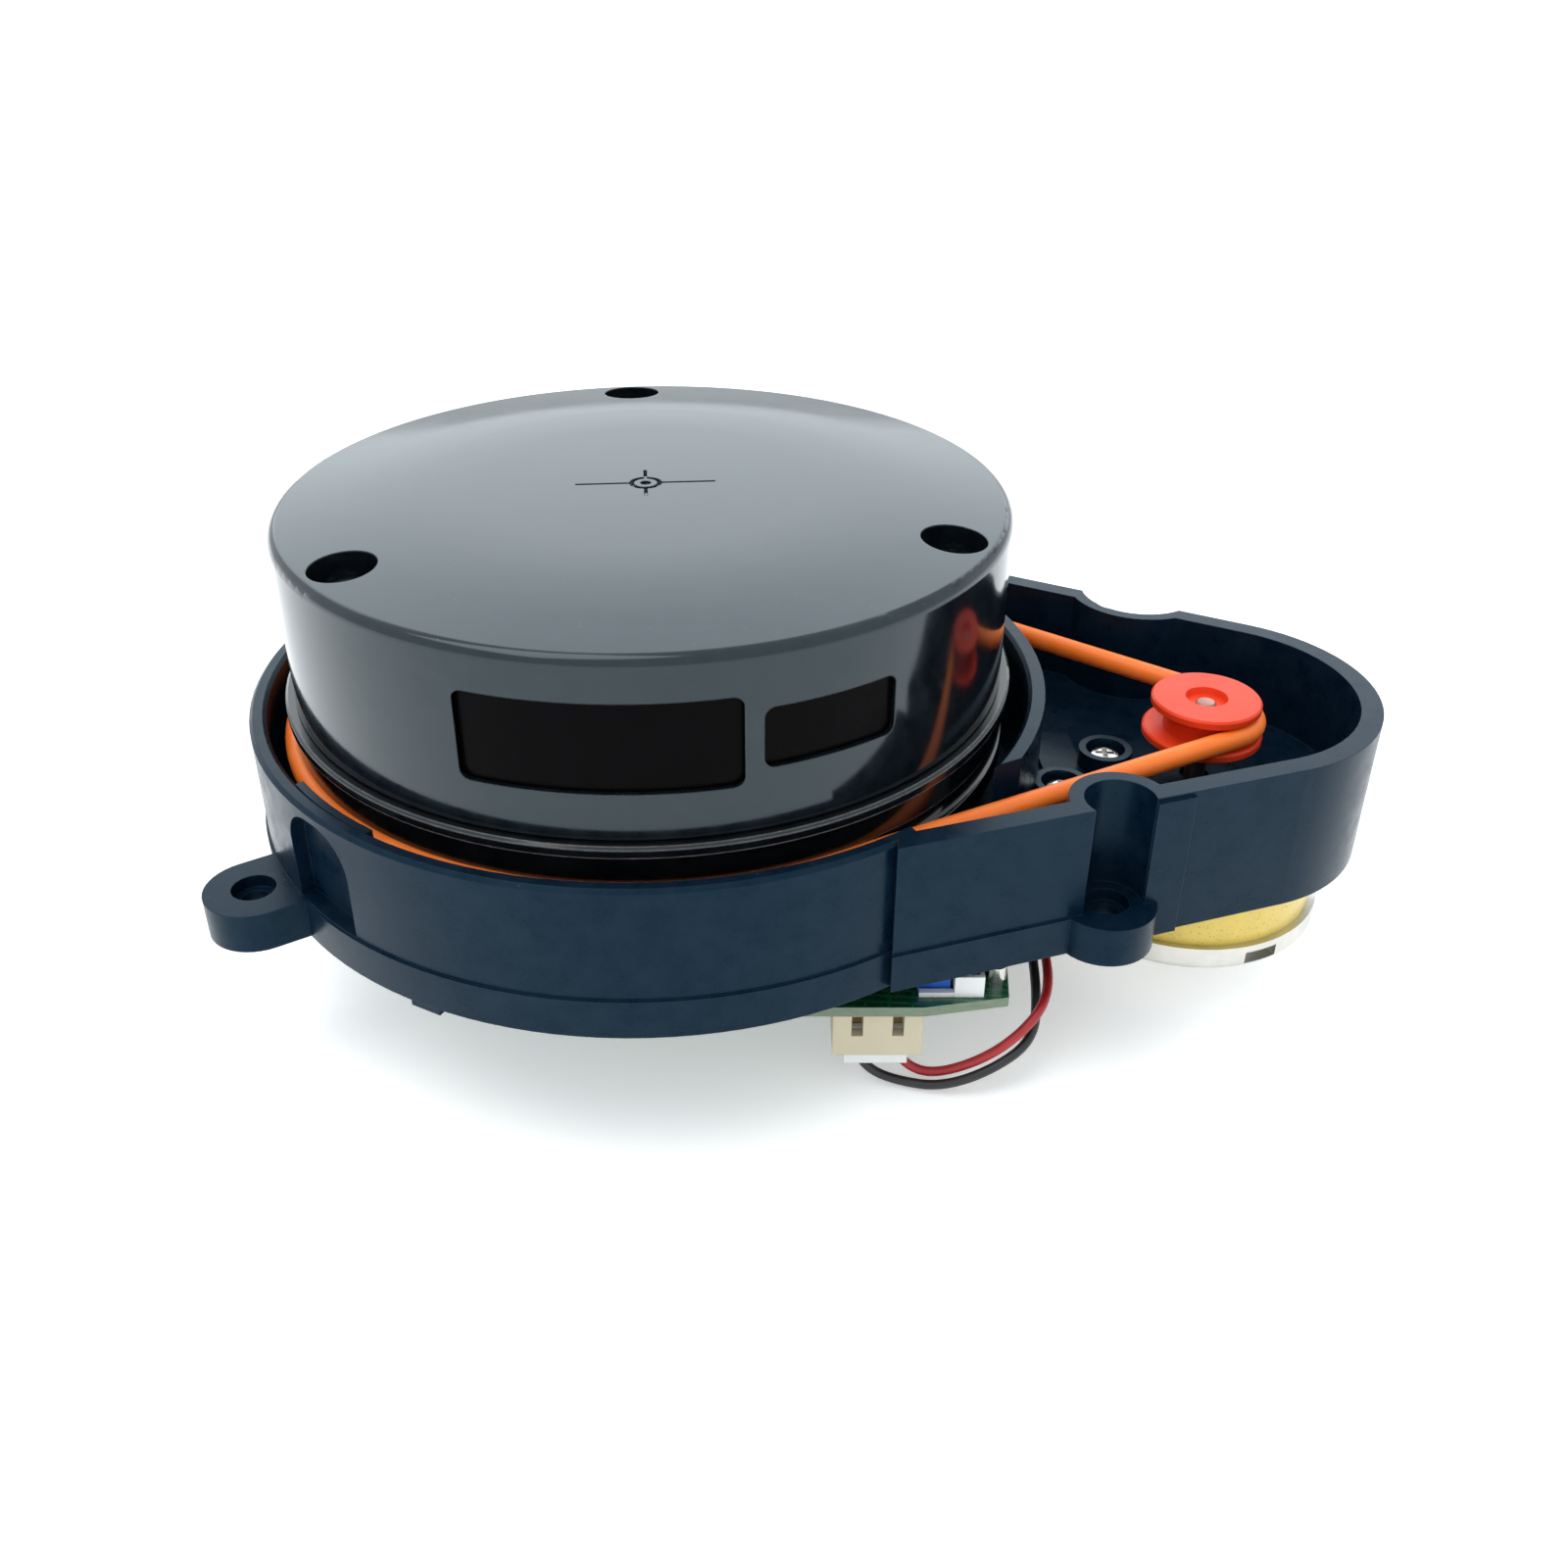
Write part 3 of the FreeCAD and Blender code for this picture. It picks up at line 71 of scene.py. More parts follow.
def make_camera(place, heading, pitch, roll, lens):
    data = bpy.data.cameras.new("camera")
    data.lens = lens
    data.sensor_width = 36
    data.clip_start = 0.005
    camera = bpy.data.objects.new("camera", data)
    bpy.context.scene.collection.objects.link(camera)
    turn = Matrix.Rotation(heading, 4, "Z") @ Matrix.Rotation(math.pi / 2 - pitch, 4, "X")
    camera.matrix_world = Matrix.Translation(place) @ turn @ Matrix.Rotation(roll, 4, "Z")
    bpy.context.scene.camera = camera


make_camera((0.0225, -0.13112, 0.08213), math.radians(4.22), math.radians(31.5), math.radians(0.39), 34.94)


# Motor leads: from the plug's contacts, out below the board and round to the motor's terminals

LEAD_DIAMETER = 0.9 * MM
RED_ROUTE = [(24.85, -25.10, -8.1), (24.85, -25.10, -10.5), (26.12, -25.2, -12.54), (28.4, -25.4, -13.2),
             (31.8, -25.9, -11.4), (35.1, -25.8, -8.8), (37.9, -23.9, -6.4), (38.8, -20.3, -5.7),
             (38.5, -15.0, -5.4), (38.3, -8.8, -6.3), (38.4, -3.4, -7.4)]
BLACK_ROUTE = [(21.26, -25.42, -8.1), (21.26, -25.42, -10.7), (22.68, -25.6, -12.9), (25.25, -26.0, -13.7),
               (29.2, -26.8, -13.5), (33.5, -26.8, -11.3), (37.4, -24.5, -9.4), (37.7, -21.2, -6.7),
               (37.2, -16.0, -4.5), (37.3, -9.4, -4.2), (37.9, -3.2, -5.2), (38.5, 1.6, -7.1)]


def make_lead(name, route, node):
    """A mesh tube along the smooth line that the route's points control."""
    curve = bpy.data.curves.new(name, "CURVE")
    curve.dimensions = "3D"
    curve.resolution_u = 12
    curve.use_fill_caps = True
    spline = curve.splines.new("NURBS")
    spline.points.add(len(route) - 1)
    for point, place in zip(spline.points, route):
        point.co = (*(Vector(place) * MM), 1)
    spline.use_endpoint_u = True
    spline.order_u = 3
    drawn = bpy.data.objects.new(name + "_line", curve)
    line = [vertex.co.copy() for vertex in bpy.data.meshes.new_from_object(drawn).vertices]
    curve.bevel_depth = LEAD_DIAMETER / 2
    curve.bevel_resolution = 6
    data = bpy.data.meshes.new_from_object(drawn)
    data.name = name
    bpy.data.objects.remove(drawn)
    tube = bmesh.new()
    tube.from_mesh(data)
    bmesh.ops.remove_doubles(tube, verts=tube.verts, dist=0.0001 * MM)
    bmesh.ops.recalc_face_normals(tube, faces=tube.faces)
    tube.to_mesh(data)
    tube.free()
    lead = bpy.data.objects.new(name, data)
    bpy.context.scene.collection.objects.link(lead)
    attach(lead, "base")
    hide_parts(node)
    return lead


red_lead = make_lead("red_motor_lead", RED_ROUTE, "red_lead")
black_lead = make_lead("black_motor_lead", BLACK_ROUTE, "black_lead")


# Small parts that the CAD model leaves out: soldered components and solder

BOARD_UNDERSIDE, BOARD_TOP = (corner.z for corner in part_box("main_board"))


def new_piece(name, mesh, body, slot_name, bevel=0.0):
    """An object from a bmesh, riding on a body."""
    if bevel:
        bmesh.ops.bevel(mesh, geom=mesh.edges[:], offset=bevel, segments=2, profile=0.5, affect="EDGES")
    data = bpy.data.meshes.new(name)
    mesh.to_mesh(data)
    mesh.free()
    piece = bpy.data.objects.new(name, data)
    bpy.context.scene.collection.objects.link(piece)
    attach(piece, body)
    DETAILS.append((piece, slot_name))
    return piece


def add_block(mesh, size, at, turn=0.0):
    place = Matrix.Translation(at) @ Matrix.Rotation(turn, 4, "Z") @ Matrix.Diagonal((*size, 1))
    bmesh.ops.create_cube(mesh, size=1.0, matrix=place)


def add_blob(mesh, radius, height, at):
    place = Matrix.Translation(at) @ Matrix.Diagonal((radius, radius, height, 1))
    bmesh.ops.create_uvsphere(mesh, u_segments=20, v_segments=12, radius=1.0, matrix=place)


def beside(at, turn, distance):
    """The point at a distance from another in the direction of a turn about Z."""
    return Vector(at) + Vector((math.cos(turn), math.sin(turn), 0)) * distance


def make_passives():
    """Chip resistors and capacitors under the main board, each a body between two tinned caps."""
    bodies, caps = bmesh.new(), bmesh.new()
    chance = random.Random(7)
    height = 0.5 * MM
    middle = BOARD_UNDERSIDE - height / 2
    for row in range(5):
        for column in range(7):
            x = (-16 + column * 4.6 + chance.uniform(-0.5, 0.5)) * MM
            y = (-12 + row * 5.4 + chance.uniform(-0.5, 0.5)) * MM
            taken = any(math.hypot(x - cx * MM, y - cy * MM) < keep * MM for cx, cy, keep in TAKEN)
            if taken:
                continue
            turn = chance.choice((0.0, math.pi / 2))
            at = (x, y, middle)
            add_block(bodies, (1.0 * MM, 0.8 * MM, height * 0.96), at, turn)
            for side in (-1, 1):
                add_block(caps, (0.3 * MM, 0.84 * MM, height), beside(at, turn, side * 0.65 * MM), turn)
    new_piece("board_chip_parts", bodies, "base", "chip_black", 0.03 * MM)
    new_piece("board_chip_caps", caps, "base", "contact_tin", 0.05 * MM)


def make_underside_chips():
    """Two packages under the main board, with gull-wing legs."""
    packages, legs = bmesh.new(), bmesh.new()
    for x, y, wide, deep, count in CHIPS:
        add_block(packages, (wide * MM, deep * MM, 1.2 * MM), (x * MM, y * MM, BOARD_UNDERSIDE - 0.75 * MM))
        for i in range(count):
            along = (x + (i - (count - 1) / 2) * 1.0) * MM
            for side in (-1, 1):
                edge = (y + side * (deep / 2 + 0.15)) * MM
                foot = (y + side * (deep / 2 + 0.55)) * MM
                add_block(legs, (0.4 * MM, 0.3 * MM, 0.7 * MM), (along, edge, BOARD_UNDERSIDE - 0.35 * MM))
                add_block(legs, (0.4 * MM, 0.5 * MM, 0.15 * MM), (along, foot, BOARD_UNDERSIDE - 0.075 * MM))
    new_piece("board_packages", packages, "base", "chip_black", 0.1 * MM)
    new_piece("package_legs", legs, "base", "contact_tin", 0.03 * MM)


def make_solder():
    """Fillets round the header's pins over the board, and the joints between leads and terminals."""
    mesh = bmesh.new()
    header = Matrix.Translation((23.3 * MM, -28.05 * MM, 0)) @ Matrix.Rotation(math.radians(5), 4, "Z")
    for side in (-1, 1):
        add_blob(mesh, 0.75 * MM, 0.5 * MM, header @ Vector((side * 1.8 * MM, 2.8 * MM, BOARD_TOP)))
    for route in (RED_ROUTE, BLACK_ROUTE):
        add_blob(mesh, 0.72 * MM, 0.6 * MM, Vector(route[-1]) * MM)
    new_piece("solder_joints", mesh, "base", "contact_tin")


DETAILS = []
# Kept clear of chip parts, in millimetres: x, y and radius round each screw, chip and the board's middle
TAKEN = ((-20, -12, 4), (6, 24, 4), (24, -14, 4), (0, 0, 4.5), (-8, 6, 5.5), (10, 8, 5.5))
# Packages, in millimetres: x, y, width, depth, and the legs along each side
CHIPS = ((-8, 6, 5.0, 4.0, 4), (10, 8, 6.0, 4.4, 5))
make_passives()
make_underside_chips()
make_solder()


# Node helpers

def add(tree, kind, inputs=None, **settings):
    """Adds a shader node. inputs gives each socket, by name or number, a value or another node's output."""
    made = tree.nodes.new("ShaderNode" + kind)
    for name, value in settings.items():
        setattr(made, name, value)
    for socket, value in (inputs or {}).items():
        if isinstance(value, bpy.types.NodeSocket):
            tree.links.new(value, made.inputs[socket])
        else:
            made.inputs[socket].default_value = value
    return made


def math_node(tree, operation, *values):
    return add(tree, "Math", dict(enumerate(values)), operation=operation).outputs[0]


def stretch(tree, value, low, high, to_low=0.0, to_high=1.0):
    """Maps low..high to to_low..to_high, clamped."""
    inputs = {"Value": value, "From Min": low, "From Max": high, "To Min": to_low, "To Max": to_high}
    return add(tree, "MapRange", inputs).outputs["Result"]


def blend_colours(tree, factor, first, second):
    mix = add(tree, "Mix", {0: factor, 6: first, 7: second}, data_type="RGBA")
    return mix.outputs[2]


def noise(tree, vector, scale, detail=2.0, roughness=0.5):
    return add(tree, "TexNoise", {"Vector": vector, "Scale": scale, "Detail": detail, "Roughness": roughness}
               ).outputs["Fac"]


def scaled(tree, vector, by):
    return add(tree, "Mapping", {"Vector": vector, "Scale": by}).outputs[0]


def new_group(name, inputs, outputs):
    """A shader node group with named sockets: a number for a value, anything else for a vector."""
    tree = bpy.data.node_groups.new(name, "ShaderNodeTree")
    for label, value in inputs.items():
        kind = "NodeSocketFloat" if isinstance(value, (int, float)) else "NodeSocketVector"
        socket = tree.interface.new_socket(label, in_out="INPUT", socket_type=kind)
        if kind == "NodeSocketFloat":
            socket.default_value = value
    for label in outputs:
        tree.interface.new_socket(label, in_out="OUTPUT", socket_type="NodeSocketFloat")
    return tree, tree.nodes.new("NodeGroupInput").outputs, tree.nodes.new("NodeGroupOutput").inputs


# Shared effects

def moulded_skin():
    """Spark-eroded mould texture, with a slow waviness of the wall under it."""
    tree, given, out = new_group("moulded_skin", {"Vector": None, "Grain": 5000.0, "Waviness": 0.3},
                                 ("Height", "Variation"))
    grain = noise(tree, given["Vector"], given["Grain"], 3.0, 0.6)
    slow = noise(tree, given["Vector"], 160.0, 2.0)
    tree.links.new(math_node(tree, "ADD", grain, math_node(tree, "MULTIPLY", slow, given["Waviness"])),
                   out["Height"])
    patches = noise(tree, given["Vector"], 420.0, 4.0, 0.65)
    tree.links.new(stretch(tree, patches, 0.35, 0.65), out["Variation"])
    return tree


def scuffs():
    """Short fine scratches in two directions, gathered in patches."""
    tree, given, out = new_group("scuffs", {"Vector": None, "Amount": 0.5}, ("Mask",))
    lines = []
    for turn, by in ((0.5, (260, 9000, 260)), (-0.9, (7000, 320, 320))):
        turned = add(tree, "Mapping", {"Vector": given["Vector"], "Rotation": (0.2, 0.1, turn)}).outputs[0]
        streak = noise(tree, scaled(tree, turned, by), 1.0, 1.0)
        lines.append(stretch(tree, streak, 0.68, 0.76))
    both = math_node(tree, "MAXIMUM", *lines)
    patches = stretch(tree, noise(tree, given["Vector"], 90.0, 3.0), 0.48, 0.62)
    tree.links.new(math_node(tree, "MULTIPLY", math_node(tree, "MULTIPLY", both, patches), given["Amount"]),
                   out["Mask"])
    return tree


def dust():
    """Sparse specks that settle on what faces up."""
    tree, given, out = new_group("dust", {"Vector": None, "Amount": 0.5}, ("Mask",))
    cells = add(tree, "TexVoronoi", {"Vector": given["Vector"], "Scale": 1500.0, "Randomness": 1.0})
    speck = stretch(tree, cells.outputs["Distance"], 0.10, 0.04)
    chosen = stretch(tree, noise(tree, given["Vector"], 700.0, 1.0), 0.60, 0.64)
    up = stretch(tree, add(tree, "SeparateXYZ", {0: add(tree, "NewGeometry").outputs["Normal"]}).outputs["Z"],
                 0.2, 0.9)
    held = math_node(tree, "MULTIPLY", math_node(tree, "MULTIPLY", speck, chosen), up)
    tree.links.new(math_node(tree, "MULTIPLY", held, given["Amount"]), out["Mask"])
    return tree


def edge_wear_and_highlight():
    """1 along outside edges: the mask for handling wear that polishes and lightens the surface, and for a
    painted highlight along the edges.
    """
    tree, given, out = new_group("edge_wear_and_highlight", {"Vector": None, "Width": 0.0003}, ("Mask",))
    rounded = add(tree, "Bevel", {"Radius": given["Width"]}, samples=4).outputs[0]
    flat = add(tree, "NewGeometry").outputs["Normal"]
    apart = add(tree, "VectorMath", {0: rounded, 1: flat}, operation="DOT_PRODUCT").outputs["Value"]
    edge = stretch(tree, apart, 0.97, 0.80)
    patchy = stretch(tree, noise(tree, given["Vector"], 900.0, 3.0, 0.7), 0.3, 0.7, 0.4, 1.0)
    tree.links.new(math_node(tree, "MULTIPLY", edge, patchy), out["Mask"])
    return tree


def drawn_lines():
    """Fine lines left by drawing, turning or brushing, long in the direction with the smallest scale."""
    tree, given, out = new_group("drawn_lines", {"Vector": None, "Scale": None}, ("Height", "Variation"))
    lined = add(tree, "VectorMath", {0: given["Vector"], 1: given["Scale"]}, operation="MULTIPLY").outputs[0]
    fine = noise(tree, lined, 1.0, 3.0, 0.7)
    tree.links.new(fine, out["Height"])
    broad = noise(tree, given["Vector"], 300.0, 3.0)
    tree.links.new(stretch(tree, math_node(tree, "ADD", fine, broad), 0.7, 1.3), out["Variation"])
    return tree


SKIN, SCUFFS, DUST, EDGES, LINES = moulded_skin(), scuffs(), dust(), edge_wear_and_highlight(), drawn_lines()


def placed(tree, effect, vector, **values):
    """One use of a shared effect in a material, read on vector."""
    made = add(tree, "Group")
    made.node_tree = effect
    tree.links.new(vector, made.inputs["Vector"])
    for name, value in values.items():
        made.inputs[name].default_value = value
    return made.outputs


def new_material(name, **constants):
    """A material with a Principled BSDF. constants set its sockets, with _ for a space."""
    made = bpy.data.materials.new(name)
    made.use_nodes = True
    tree = made.node_tree
    shader = tree.nodes["Principled BSDF"]
    for socket, value in constants.items():
        shader.inputs[socket.replace("_", " ")].default_value = value
    place = add(tree, "TexCoord").outputs["Object"]
    return made, tree, shader.inputs, place


def bump(tree, shader, height, depth, rounding=0.0):
    """Sends a height through a Bump node to the shader. rounding softens sharp edges by that radius."""
    inputs = {"Height": height, "Distance": depth, "Strength": 1.0}
    if rounding:
        inputs["Normal"] = add(tree, "Bevel", {"Radius": rounding}, samples=4).outputs[0]
    tree.links.new(add(tree, "Bump", inputs).outputs[0], shader["Normal"])


def rgb(red, green, blue):
    return (red, green, blue, 1.0)


# Materials

def plastic(name, colour, rough, grain=5000.0, depth=0.004 * MM, lighter=1.6, wear=0.35, waviness=0.3,
            rounding=0.12 * MM, edge_wear_and_highlight_colour=None, crease=None, **constants):
    """Moulded plastic: textured skin, patchy gloss, scuffs, dust, and edges painted lighter, partly as wear
    and partly as a painted highlight.
    """
    made, tree, shader, place = new_material(name, **constants)
    skin = placed(tree, SKIN, place, Grain=grain, Waviness=waviness)
    scratch = placed(tree, SCUFFS, place, Amount=wear)["Mask"]
    edge = placed(tree, EDGES, place, Width=0.25 * MM)["Mask"]
    specks = placed(tree, DUST, place, Amount=wear)["Mask"]
    pale = rgb(*[min(1.0, lighter * (c + 0.006)) for c in colour[:3]])
    tone = blend_colours(tree, stretch(tree, skin["Variation"], 0, 1, 0.0, 0.35), colour, pale)
    # Edges lighter: partly handling wear, partly a painted highlight along them.
    tone = blend_colours(tree, edge, tone, edge_wear_and_highlight_colour or pale)
    tone = blend_colours(tree, specks, tone, rgb(0.45, 0.46, 0.46))
    tree.links.new(tone, shader["Base Color"])
    gloss = stretch(tree, skin["Variation"], 0, 1, rough * 0.85, min(1.0, rough * 1.2))
    gloss = math_node(tree, "ADD", gloss, math_node(tree, "MULTIPLY", scratch, 0.25))
    gloss = math_node(tree, "ADD", gloss, math_node(tree, "MULTIPLY", specks, 0.4))
    tree.links.new(gloss, shader["Roughness"])
    height = math_node(tree, "SUBTRACT", skin["Height"], math_node(tree, "MULTIPLY", scratch, 0.5))
    bump(tree, shader, height, depth, rounding)
    if crease:
        soften_crease(tree, shader, place, *crease)
    return made


def soften_crease(tree, shader, place, radius, turn, width):
    """Eases the shading over a ring-shaped crease that turns by an angle, width to either side of it."""
    flat = add(tree, "Mapping", {"Vector": place, "Scale": (1, 1, 0)}).outputs[0]
    away = add(tree, "VectorMath", {0: flat}, operation="LENGTH").outputs["Value"]
    apart = math_node(tree, "ABSOLUTE", math_node(tree, "SUBTRACT", away, radius))
    inside = math_node(tree, "MAXIMUM", math_node(tree, "SUBTRACT", width, apart), 0.0)
    dip = math_node(tree, "MULTIPLY", math_node(tree, "MULTIPLY", inside, inside), -turn / (4 * width))
    skin = shader["Normal"].links[0].from_node
    under = add(tree, "Bump", {"Height": dip, "Distance": 1.0, "Strength": 1.0,
                               "Normal": skin.inputs["Normal"].links[0].from_socket})
    tree.links.new(under.outputs[0], skin.inputs["Normal"])


def metal(name, colour, rough, lines=(900, 900, 9000), depth=0.002 * MM, stain=0.7, **constants):
    """Bare or plated metal with drawn lines, patchy tarnish, and edges painted brighter, partly as wear and
    partly as a painted highlight.
    """
    made, tree, shader, place = new_material(name, Metallic=1.0, **constants)
    drawn = placed(tree, LINES, place, Scale=lines)
    scratch = placed(tree, SCUFFS, place, Amount=0.6)["Mask"]
    edge = placed(tree, EDGES, place, Width=0.15 * MM)["Mask"]
    dull = rgb(*[c * stain for c in colour[:3]])
    tone = blend_colours(tree, drawn["Variation"], dull, colour)
    # Edges painted brighter: partly a polished worn edge, partly a painted highlight.
    tone = blend_colours(tree, edge, tone, rgb(*[min(1.0, c * 1.15) for c in colour[:3]]))
    tree.links.new(tone, shader["Base Color"])
    gloss = stretch(tree, drawn["Variation"], 0, 1, rough * 1.3, rough * 0.8)
    tree.links.new(math_node(tree, "ADD", gloss, math_node(tree, "MULTIPLY", scratch, 0.2)),
                   shader["Roughness"])
    bump(tree, shader, drawn["Height"], depth, 0.08 * MM)
    return made


def rubber(name, colour, rough, depth=0.003 * MM, **constants):
    """Cast elastomer or cable insulation: even colour, faint bloom and fine pitting."""
    made, tree, shader, place = new_material(name, **constants)
    skin = placed(tree, SKIN, place, Grain=3500.0, Waviness=0.6)
    scratch = placed(tree, SCUFFS, place, Amount=0.5)["Mask"]
    bloom = rgb(*[min(1.0, c * 1.15 + 0.02) for c in colour[:3]])
    tone = blend_colours(tree, stretch(tree, skin["Variation"], 0, 1, 0, 0.6), colour, bloom)
    tree.links.new(tone, shader["Base Color"])
    gloss = stretch(tree, skin["Variation"], 0, 1, rough * 0.8, rough * 1.25)
    tree.links.new(math_node(tree, "ADD", gloss, math_node(tree, "MULTIPLY", scratch, 0.2)),
                   shader["Roughness"])
    bump(tree, shader, skin["Height"], depth)
    return made


def circuit_board(name):
    """Green solder mask over copper tracks, with plated holes and pale resin at the cut edge."""
    made, tree, shader, place = new_material(name, Coat_Weight=0.6, Coat_Roughness=0.08)
    tracks = add(tree, "TexBrick", {"Vector": place, "Scale": 260.0, "Brick Width": 0.9, "Row Height": 0.22,
                                    "Mortar Size": 0.035, "Mortar Smooth": 0.1}, offset=0.37, squash=0.6)
    track = tracks.outputs["Fac"]
    holes = add(tree, "TexVoronoi", {"Vector": place, "Scale": 330.0}).outputs["Distance"]
    ring = stretch(tree, holes, 0.16, 0.13)
    hole = stretch(tree, holes, 0.085, 0.07)
    mask = blend_colours(tree, track, rgb(0.003, 0.045, 0.020), rgb(0.008, 0.10, 0.035))
    mask = blend_colours(tree, ring, mask, rgb(0.62, 0.58, 0.48))
    mask = blend_colours(tree, hole, mask, rgb(0.01, 0.02, 0.015))
    side = add(tree, "SeparateXYZ", {0: add(tree, "NewGeometry").outputs["Normal"]}).outputs["Z"]
    cut_edge = stretch(tree, math_node(tree, "ABSOLUTE", side), 0.6, 0.4)
    fibres = noise(tree, scaled(tree, place, (900, 900, 9000)), 1.0, 3.0)
    resin = blend_colours(tree, fibres, rgb(0.05, 0.09, 0.05), rgb(0.20, 0.25, 0.16))
    tree.links.new(blend_colours(tree, cut_edge, mask, resin), shader["Base Color"])
    tree.links.new(stretch(tree, math_node(tree, "ADD", cut_edge, fibres), 0.3, 1.4, 0.22, 0.75),
                   shader["Roughness"])
    tree.links.new(math_node(tree, "MULTIPLY", math_node(tree, "SUBTRACT", ring, hole), 0.9),
                   shader["Metallic"])
    bump(tree, shader, math_node(tree, "ADD", track, ring), 0.03 * MM)
    return made


def speckled_film(name):
    """Yellow insulating film with printed speckles, slightly creased where it is wrapped."""
    made, tree, shader, place = new_material(name, Coat_Weight=0.5, Coat_Roughness=0.15)
    cells = add(tree, "TexVoronoi", {"Vector": place, "Scale": 2600.0}).outputs["Distance"]
    uneven = math_node(tree, "MULTIPLY", noise(tree, place, 800.0), 0.45)
    specks = stretch(tree, math_node(tree, "SUBTRACT", cells, uneven), 0.02, -0.05)
    patches = noise(tree, place, 500.0, 4.0, 0.7)
    tone = blend_colours(tree, patches, rgb(0.62, 0.42, 0.04), rgb(0.80, 0.60, 0.12))
    tree.links.new(blend_colours(tree, specks, tone, rgb(0.52, 0.33, 0.04)), shader["Base Color"])
    tree.links.new(stretch(tree, patches, 0.3, 0.7, 0.35, 0.55), shader["Roughness"])
    creases = noise(tree, scaled(tree, place, (300, 300, 60)), 1.0, 3.0)
    bump(tree, shader, creases, 0.06 * MM)
    return made


def winding(name):
    """Enamelled copper wire, turn beside turn round the axis."""
    made, tree, shader, place = new_material(name, Metallic=0.9, Coat_Weight=1.0, Coat_Roughness=0.1)
    flat = add(tree, "Mapping", {"Vector": place, "Scale": (1, 1, 0)}).outputs[0]
    away = add(tree, "VectorMath", {0: flat}, operation="LENGTH").outputs["Value"]
    turns = math_node(tree, "SINE", math_node(tree, "MULTIPLY", away, 2 * math.pi / (0.35 * MM)))
    # Darker between the turns: painted shade in the grooves between the wires.
    tone = blend_colours(tree, stretch(tree, turns, -1, 1), rgb(0.20, 0.06, 0.02), rgb(0.80, 0.36, 0.14))
    tree.links.new(tone, shader["Base Color"])
    tree.links.new(stretch(tree, noise(tree, place, 900.0), 0.3, 0.7, 0.2, 0.4), shader["Roughness"])
    bump(tree, shader, turns, 0.04 * MM)
    return made


def glass(name, colour, **constants):
    """Clear optical glass with a faint smear on it."""
    made, tree, shader, place = new_material(name, Transmission_Weight=0.9, IOR=1.52, Metallic=0.0,
                                             **constants)
    smear = noise(tree, place, 500.0, 4.0, 0.7)
    dimmer = rgb(*[c * 0.9 for c in colour[:3]])
    tree.links.new(blend_colours(tree, smear, colour, dimmer), shader["Base Color"])
    tree.links.new(stretch(tree, smear, 0.4, 0.8, 0.01, 0.12), shader["Roughness"])
    bump(tree, shader, smear, 0.001 * MM)
    return made


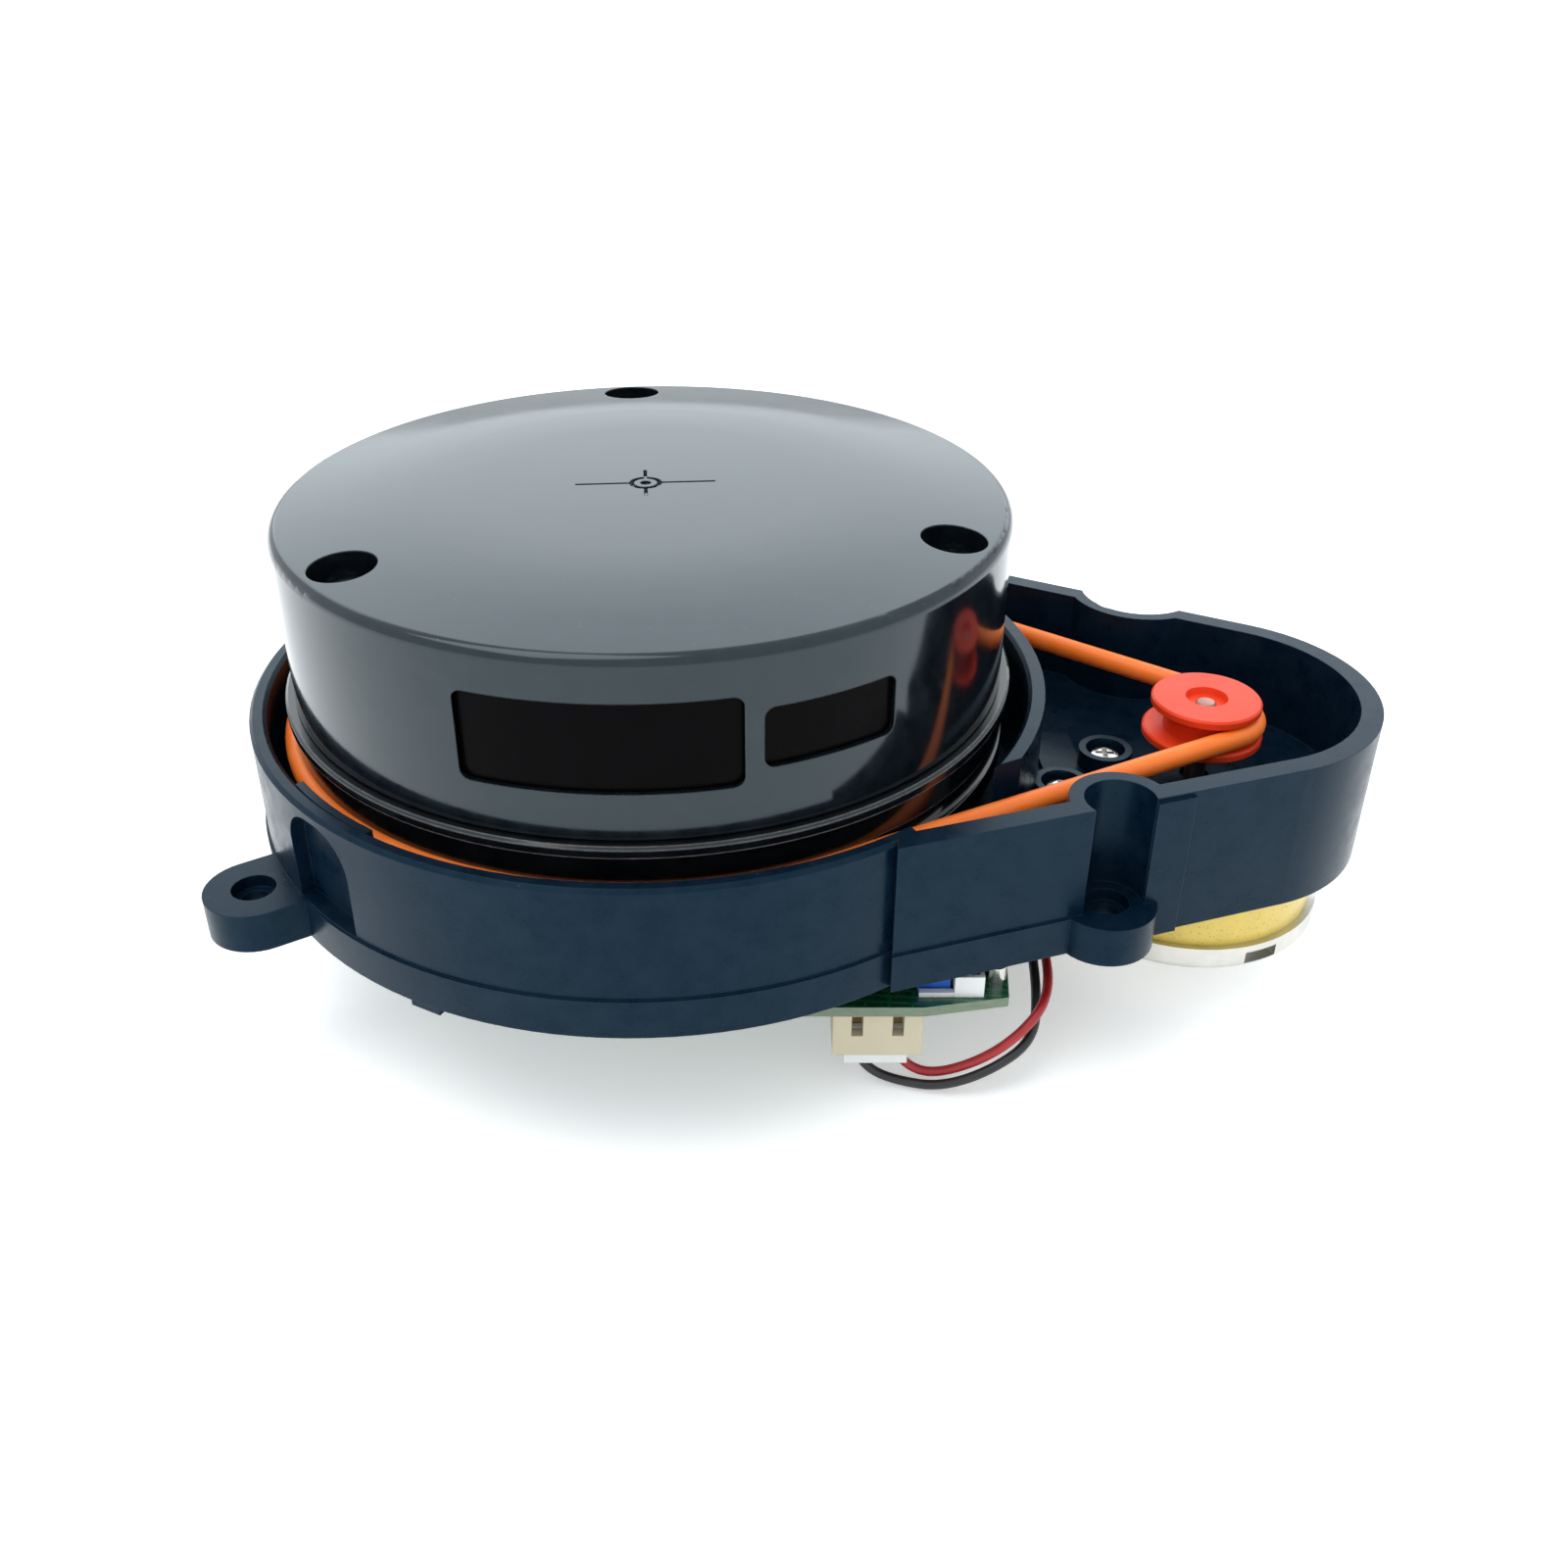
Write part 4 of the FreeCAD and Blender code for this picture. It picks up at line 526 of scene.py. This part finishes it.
PLASTIC_BLACK = rgb(0.0008, 0.0075, 0.0185)
FINISHES = {
    "base_plastic": plastic("base_plastic", PLASTIC_BLACK, 0.30, grain=4200.0, depth=0.007 * MM, lighter=1.6,
                            wear=0.2, Specular_IOR_Level=0.18, Specular_Tint=rgb(0.42, 0.80, 1.0)),
    "turret_plastic": plastic("turret_plastic", rgb(0.0025, 0.0045, 0.0065), 0.10, grain=6000.0,
                              depth=0.0006 * MM, wear=0.22, waviness=2.0, rounding=0.2 * MM,
                              crease=(21.1 * MM, math.radians(3.8), 6.0 * MM), Specular_IOR_Level=0.6,
                              Specular_Tint=rgb(0.76, 0.92, 1.0)),
    "window_plastic": plastic("window_plastic", rgb(0.0006, 0.0004, 0.0008), 0.30, depth=0.0003 * MM,
                              lighter=0.0, wear=0.1, waviness=1.0, rounding=0, Specular_IOR_Level=0.04),
    # Its edges are painted light grey: a painted highlight along them, together with wear.
    "turret_inner_plastic": plastic("turret_inner_plastic", rgb(0.0015, 0.0022, 0.0032), 0.12,
                                    depth=0.004 * MM, lighter=1.4, wear=0.3,
                                    edge_wear_and_highlight_colour=rgb(0.35, 0.38, 0.40)),
    "belt_rubber": rubber("belt_rubber", rgb(1.0, 0.19, 0.018), 0.42, Specular_IOR_Level=0.35,
                          Subsurface_Weight=0.25, Subsurface_Radius=(0.0012, 0.0005, 0.0002),
                          Subsurface_Scale=1.0),
    "pulley_plastic": plastic("pulley_plastic", rgb(0.80, 0.050, 0.010), 0.34, depth=0.002 * MM, lighter=1.0,
                              Specular_IOR_Level=0.22, Subsurface_Weight=0.15,
                              Subsurface_Radius=(0.001, 0.0003, 0.0001), Subsurface_Scale=1.0),
    "screw_nickel": metal("screw_nickel", rgb(0.78, 0.77, 0.73), 0.20, lines=(5000, 5000, 900)),
    "screw_steel": metal("screw_steel", rgb(0.55, 0.55, 0.57), 0.32, lines=(5000, 5000, 900)),
    "bearing_steel": metal("bearing_steel", rgb(0.74, 0.74, 0.76), 0.12),
    "cage_brass": metal("cage_brass", rgb(0.80, 0.60, 0.28), 0.28),
    "ferrite": plastic("ferrite", rgb(0.025, 0.024, 0.027), 0.55, grain=7000.0, depth=0.012 * MM),
    "coil_copper": winding("coil_copper"),
    "encoder_plastic": plastic("encoder_plastic", rgb(0.010, 0.011, 0.012), 0.6, depth=0.012 * MM),
    "sensor_plastic": plastic("sensor_plastic", rgb(0.010, 0.010, 0.012), 0.4),
    "board_green": circuit_board("board_green"),
    "chip_black": plastic("chip_black", rgb(0.012, 0.012, 0.013), 0.5, grain=8000.0, depth=0.008 * MM),
    "capacitor_silver": metal("capacitor_silver", rgb(0.78, 0.79, 0.81), 0.22),
    "component_blue": plastic("component_blue", rgb(0.012, 0.09, 0.42), 0.3),
    "socket_white": plastic("socket_white", rgb(0.68, 0.69, 0.68), 0.42, lighter=1.05),
    "header_cream": plastic("header_cream", rgb(0.50, 0.44, 0.31), 0.45, lighter=1.1),
    "contact_tin": metal("contact_tin", rgb(0.74, 0.70, 0.62), 0.25),
    "contact_brass": metal("contact_brass", rgb(0.70, 0.48, 0.24), 0.28),
    "red_wire": rubber("red_wire", rgb(0.33, 0.006, 0.010), 0.38),
    "black_wire": rubber("black_wire", rgb(0.008, 0.008, 0.009), 0.38),
    "motor_steel": metal("motor_steel", rgb(0.70, 0.69, 0.64), 0.33, lines=(700, 700, 12000), stain=0.85),
    "band_yellow": speckled_film("band_yellow"),
    "magnet_dark": plastic("magnet_dark", rgb(0.03, 0.028, 0.027), 0.6, depth=0.012 * MM),
    "bushing_bronze": metal("bushing_bronze", rgb(0.60, 0.40, 0.20), 0.45),
    "armature_steel": metal("armature_steel", rgb(0.32, 0.30, 0.29), 0.45, lines=(600, 600, 15000)),
    # Coloured darker and redder than steel: a painted reflection of the red pulley round the shaft's tip.
    "shaft_steel": metal("shaft_steel", rgb(0.52, 0.30, 0.26), 0.45, lines=(900, 900, 14000)),
    "bracket_plastic": plastic("bracket_plastic", rgb(0.010, 0.010, 0.012), 0.45),
    "barrel_black": metal("barrel_black", rgb(0.05, 0.05, 0.055), 0.35),
    "lens_glass": glass("lens_glass", rgb(0.82, 0.90, 0.93)),
    "sensor_glass": plastic("sensor_glass", rgb(0.02, 0.04, 0.05), 0.08, depth=0.0003 * MM, rounding=0),
    "diode_brass": metal("diode_brass", rgb(0.86, 0.68, 0.36), 0.2),
    "weight_steel": metal("weight_steel", rgb(0.45, 0.45, 0.46), 0.35),
}


def finish_piece(piece, slot_name):
    """Gives a piece the finish of its material slot."""
    piece.data.materials.clear()
    piece.data.materials.append(FINISHES[slot_name])


for subpart in frame["record"]["subparts"]:
    finish_piece(frame["nodes"][subpart["node"]], subpart["material_slot"])
for piece, slot_name in DETAILS + [(red_lead, "red_wire"), (black_lead, "black_wire")]:
    finish_piece(piece, slot_name)


# Floor, light and surroundings

def make_floor():
    mesh = bmesh.new()
    bmesh.ops.create_grid(mesh, x_segments=1, y_segments=1, size=40.0)
    bmesh.ops.translate(mesh, verts=mesh.verts, vec=(0, 0, cad_box[0].z - 0.3 * MM))
    data = bpy.data.meshes.new("floor")
    mesh.to_mesh(data)
    mesh.free()
    floor = bpy.data.objects.new("floor", data)
    bpy.context.scene.collection.objects.link(floor)
    made, tree, shader, place = new_material("floor_paper")
    fibre = noise(tree, place, 40.0, 3.0)
    tree.links.new(blend_colours(tree, fibre, rgb(0.97, 0.97, 0.97), rgb(0.99, 0.99, 0.99)),
                   shader["Base Color"])
    shader["Roughness"].default_value = 0.8
    shader["Emission Color"].default_value = rgb(1.0, 1.0, 1.0)
    shader["Emission Strength"].default_value = 0.3
    data.materials.append(made)


def make_softbox(name, place, target, size, radiance, colour):
    light = bpy.data.lights.new(name, "AREA")
    light.shape = "RECTANGLE"
    light.size, light.size_y = size
    light.energy = radiance * math.pi * size[0] * size[1]
    light.color = colour
    lamp = bpy.data.objects.new(name, light)
    bpy.context.scene.collection.objects.link(lamp)
    towards = Vector(target) - Vector(place)
    lamp.matrix_world = Matrix.Translation(place) @ towards.to_track_quat("-Z", "Y").to_matrix().to_4x4()


def make_surroundings(strength):
    world = bpy.data.worlds.new("studio")
    world.use_nodes = True
    back = world.node_tree.nodes["Background"]
    back.inputs["Color"].default_value = rgb(0.90, 0.96, 1.0)
    back.inputs["Strength"].default_value = strength
    bpy.context.scene.world = world


make_floor()
make_surroundings(1.12)
make_softbox("back_softbox", (-0.06, 0.75, 0.50), (0, 0, 0.03), (1.3, 0.7), 1.15, (0.88, 0.95, 1.0))
make_softbox("top_softbox", (-0.25, -0.15, 0.80), (0, 0, 0), (0.6, 0.6), 2.4, (1.0, 0.98, 0.95))
bpy.context.scene.view_settings.view_transform = "Standard"
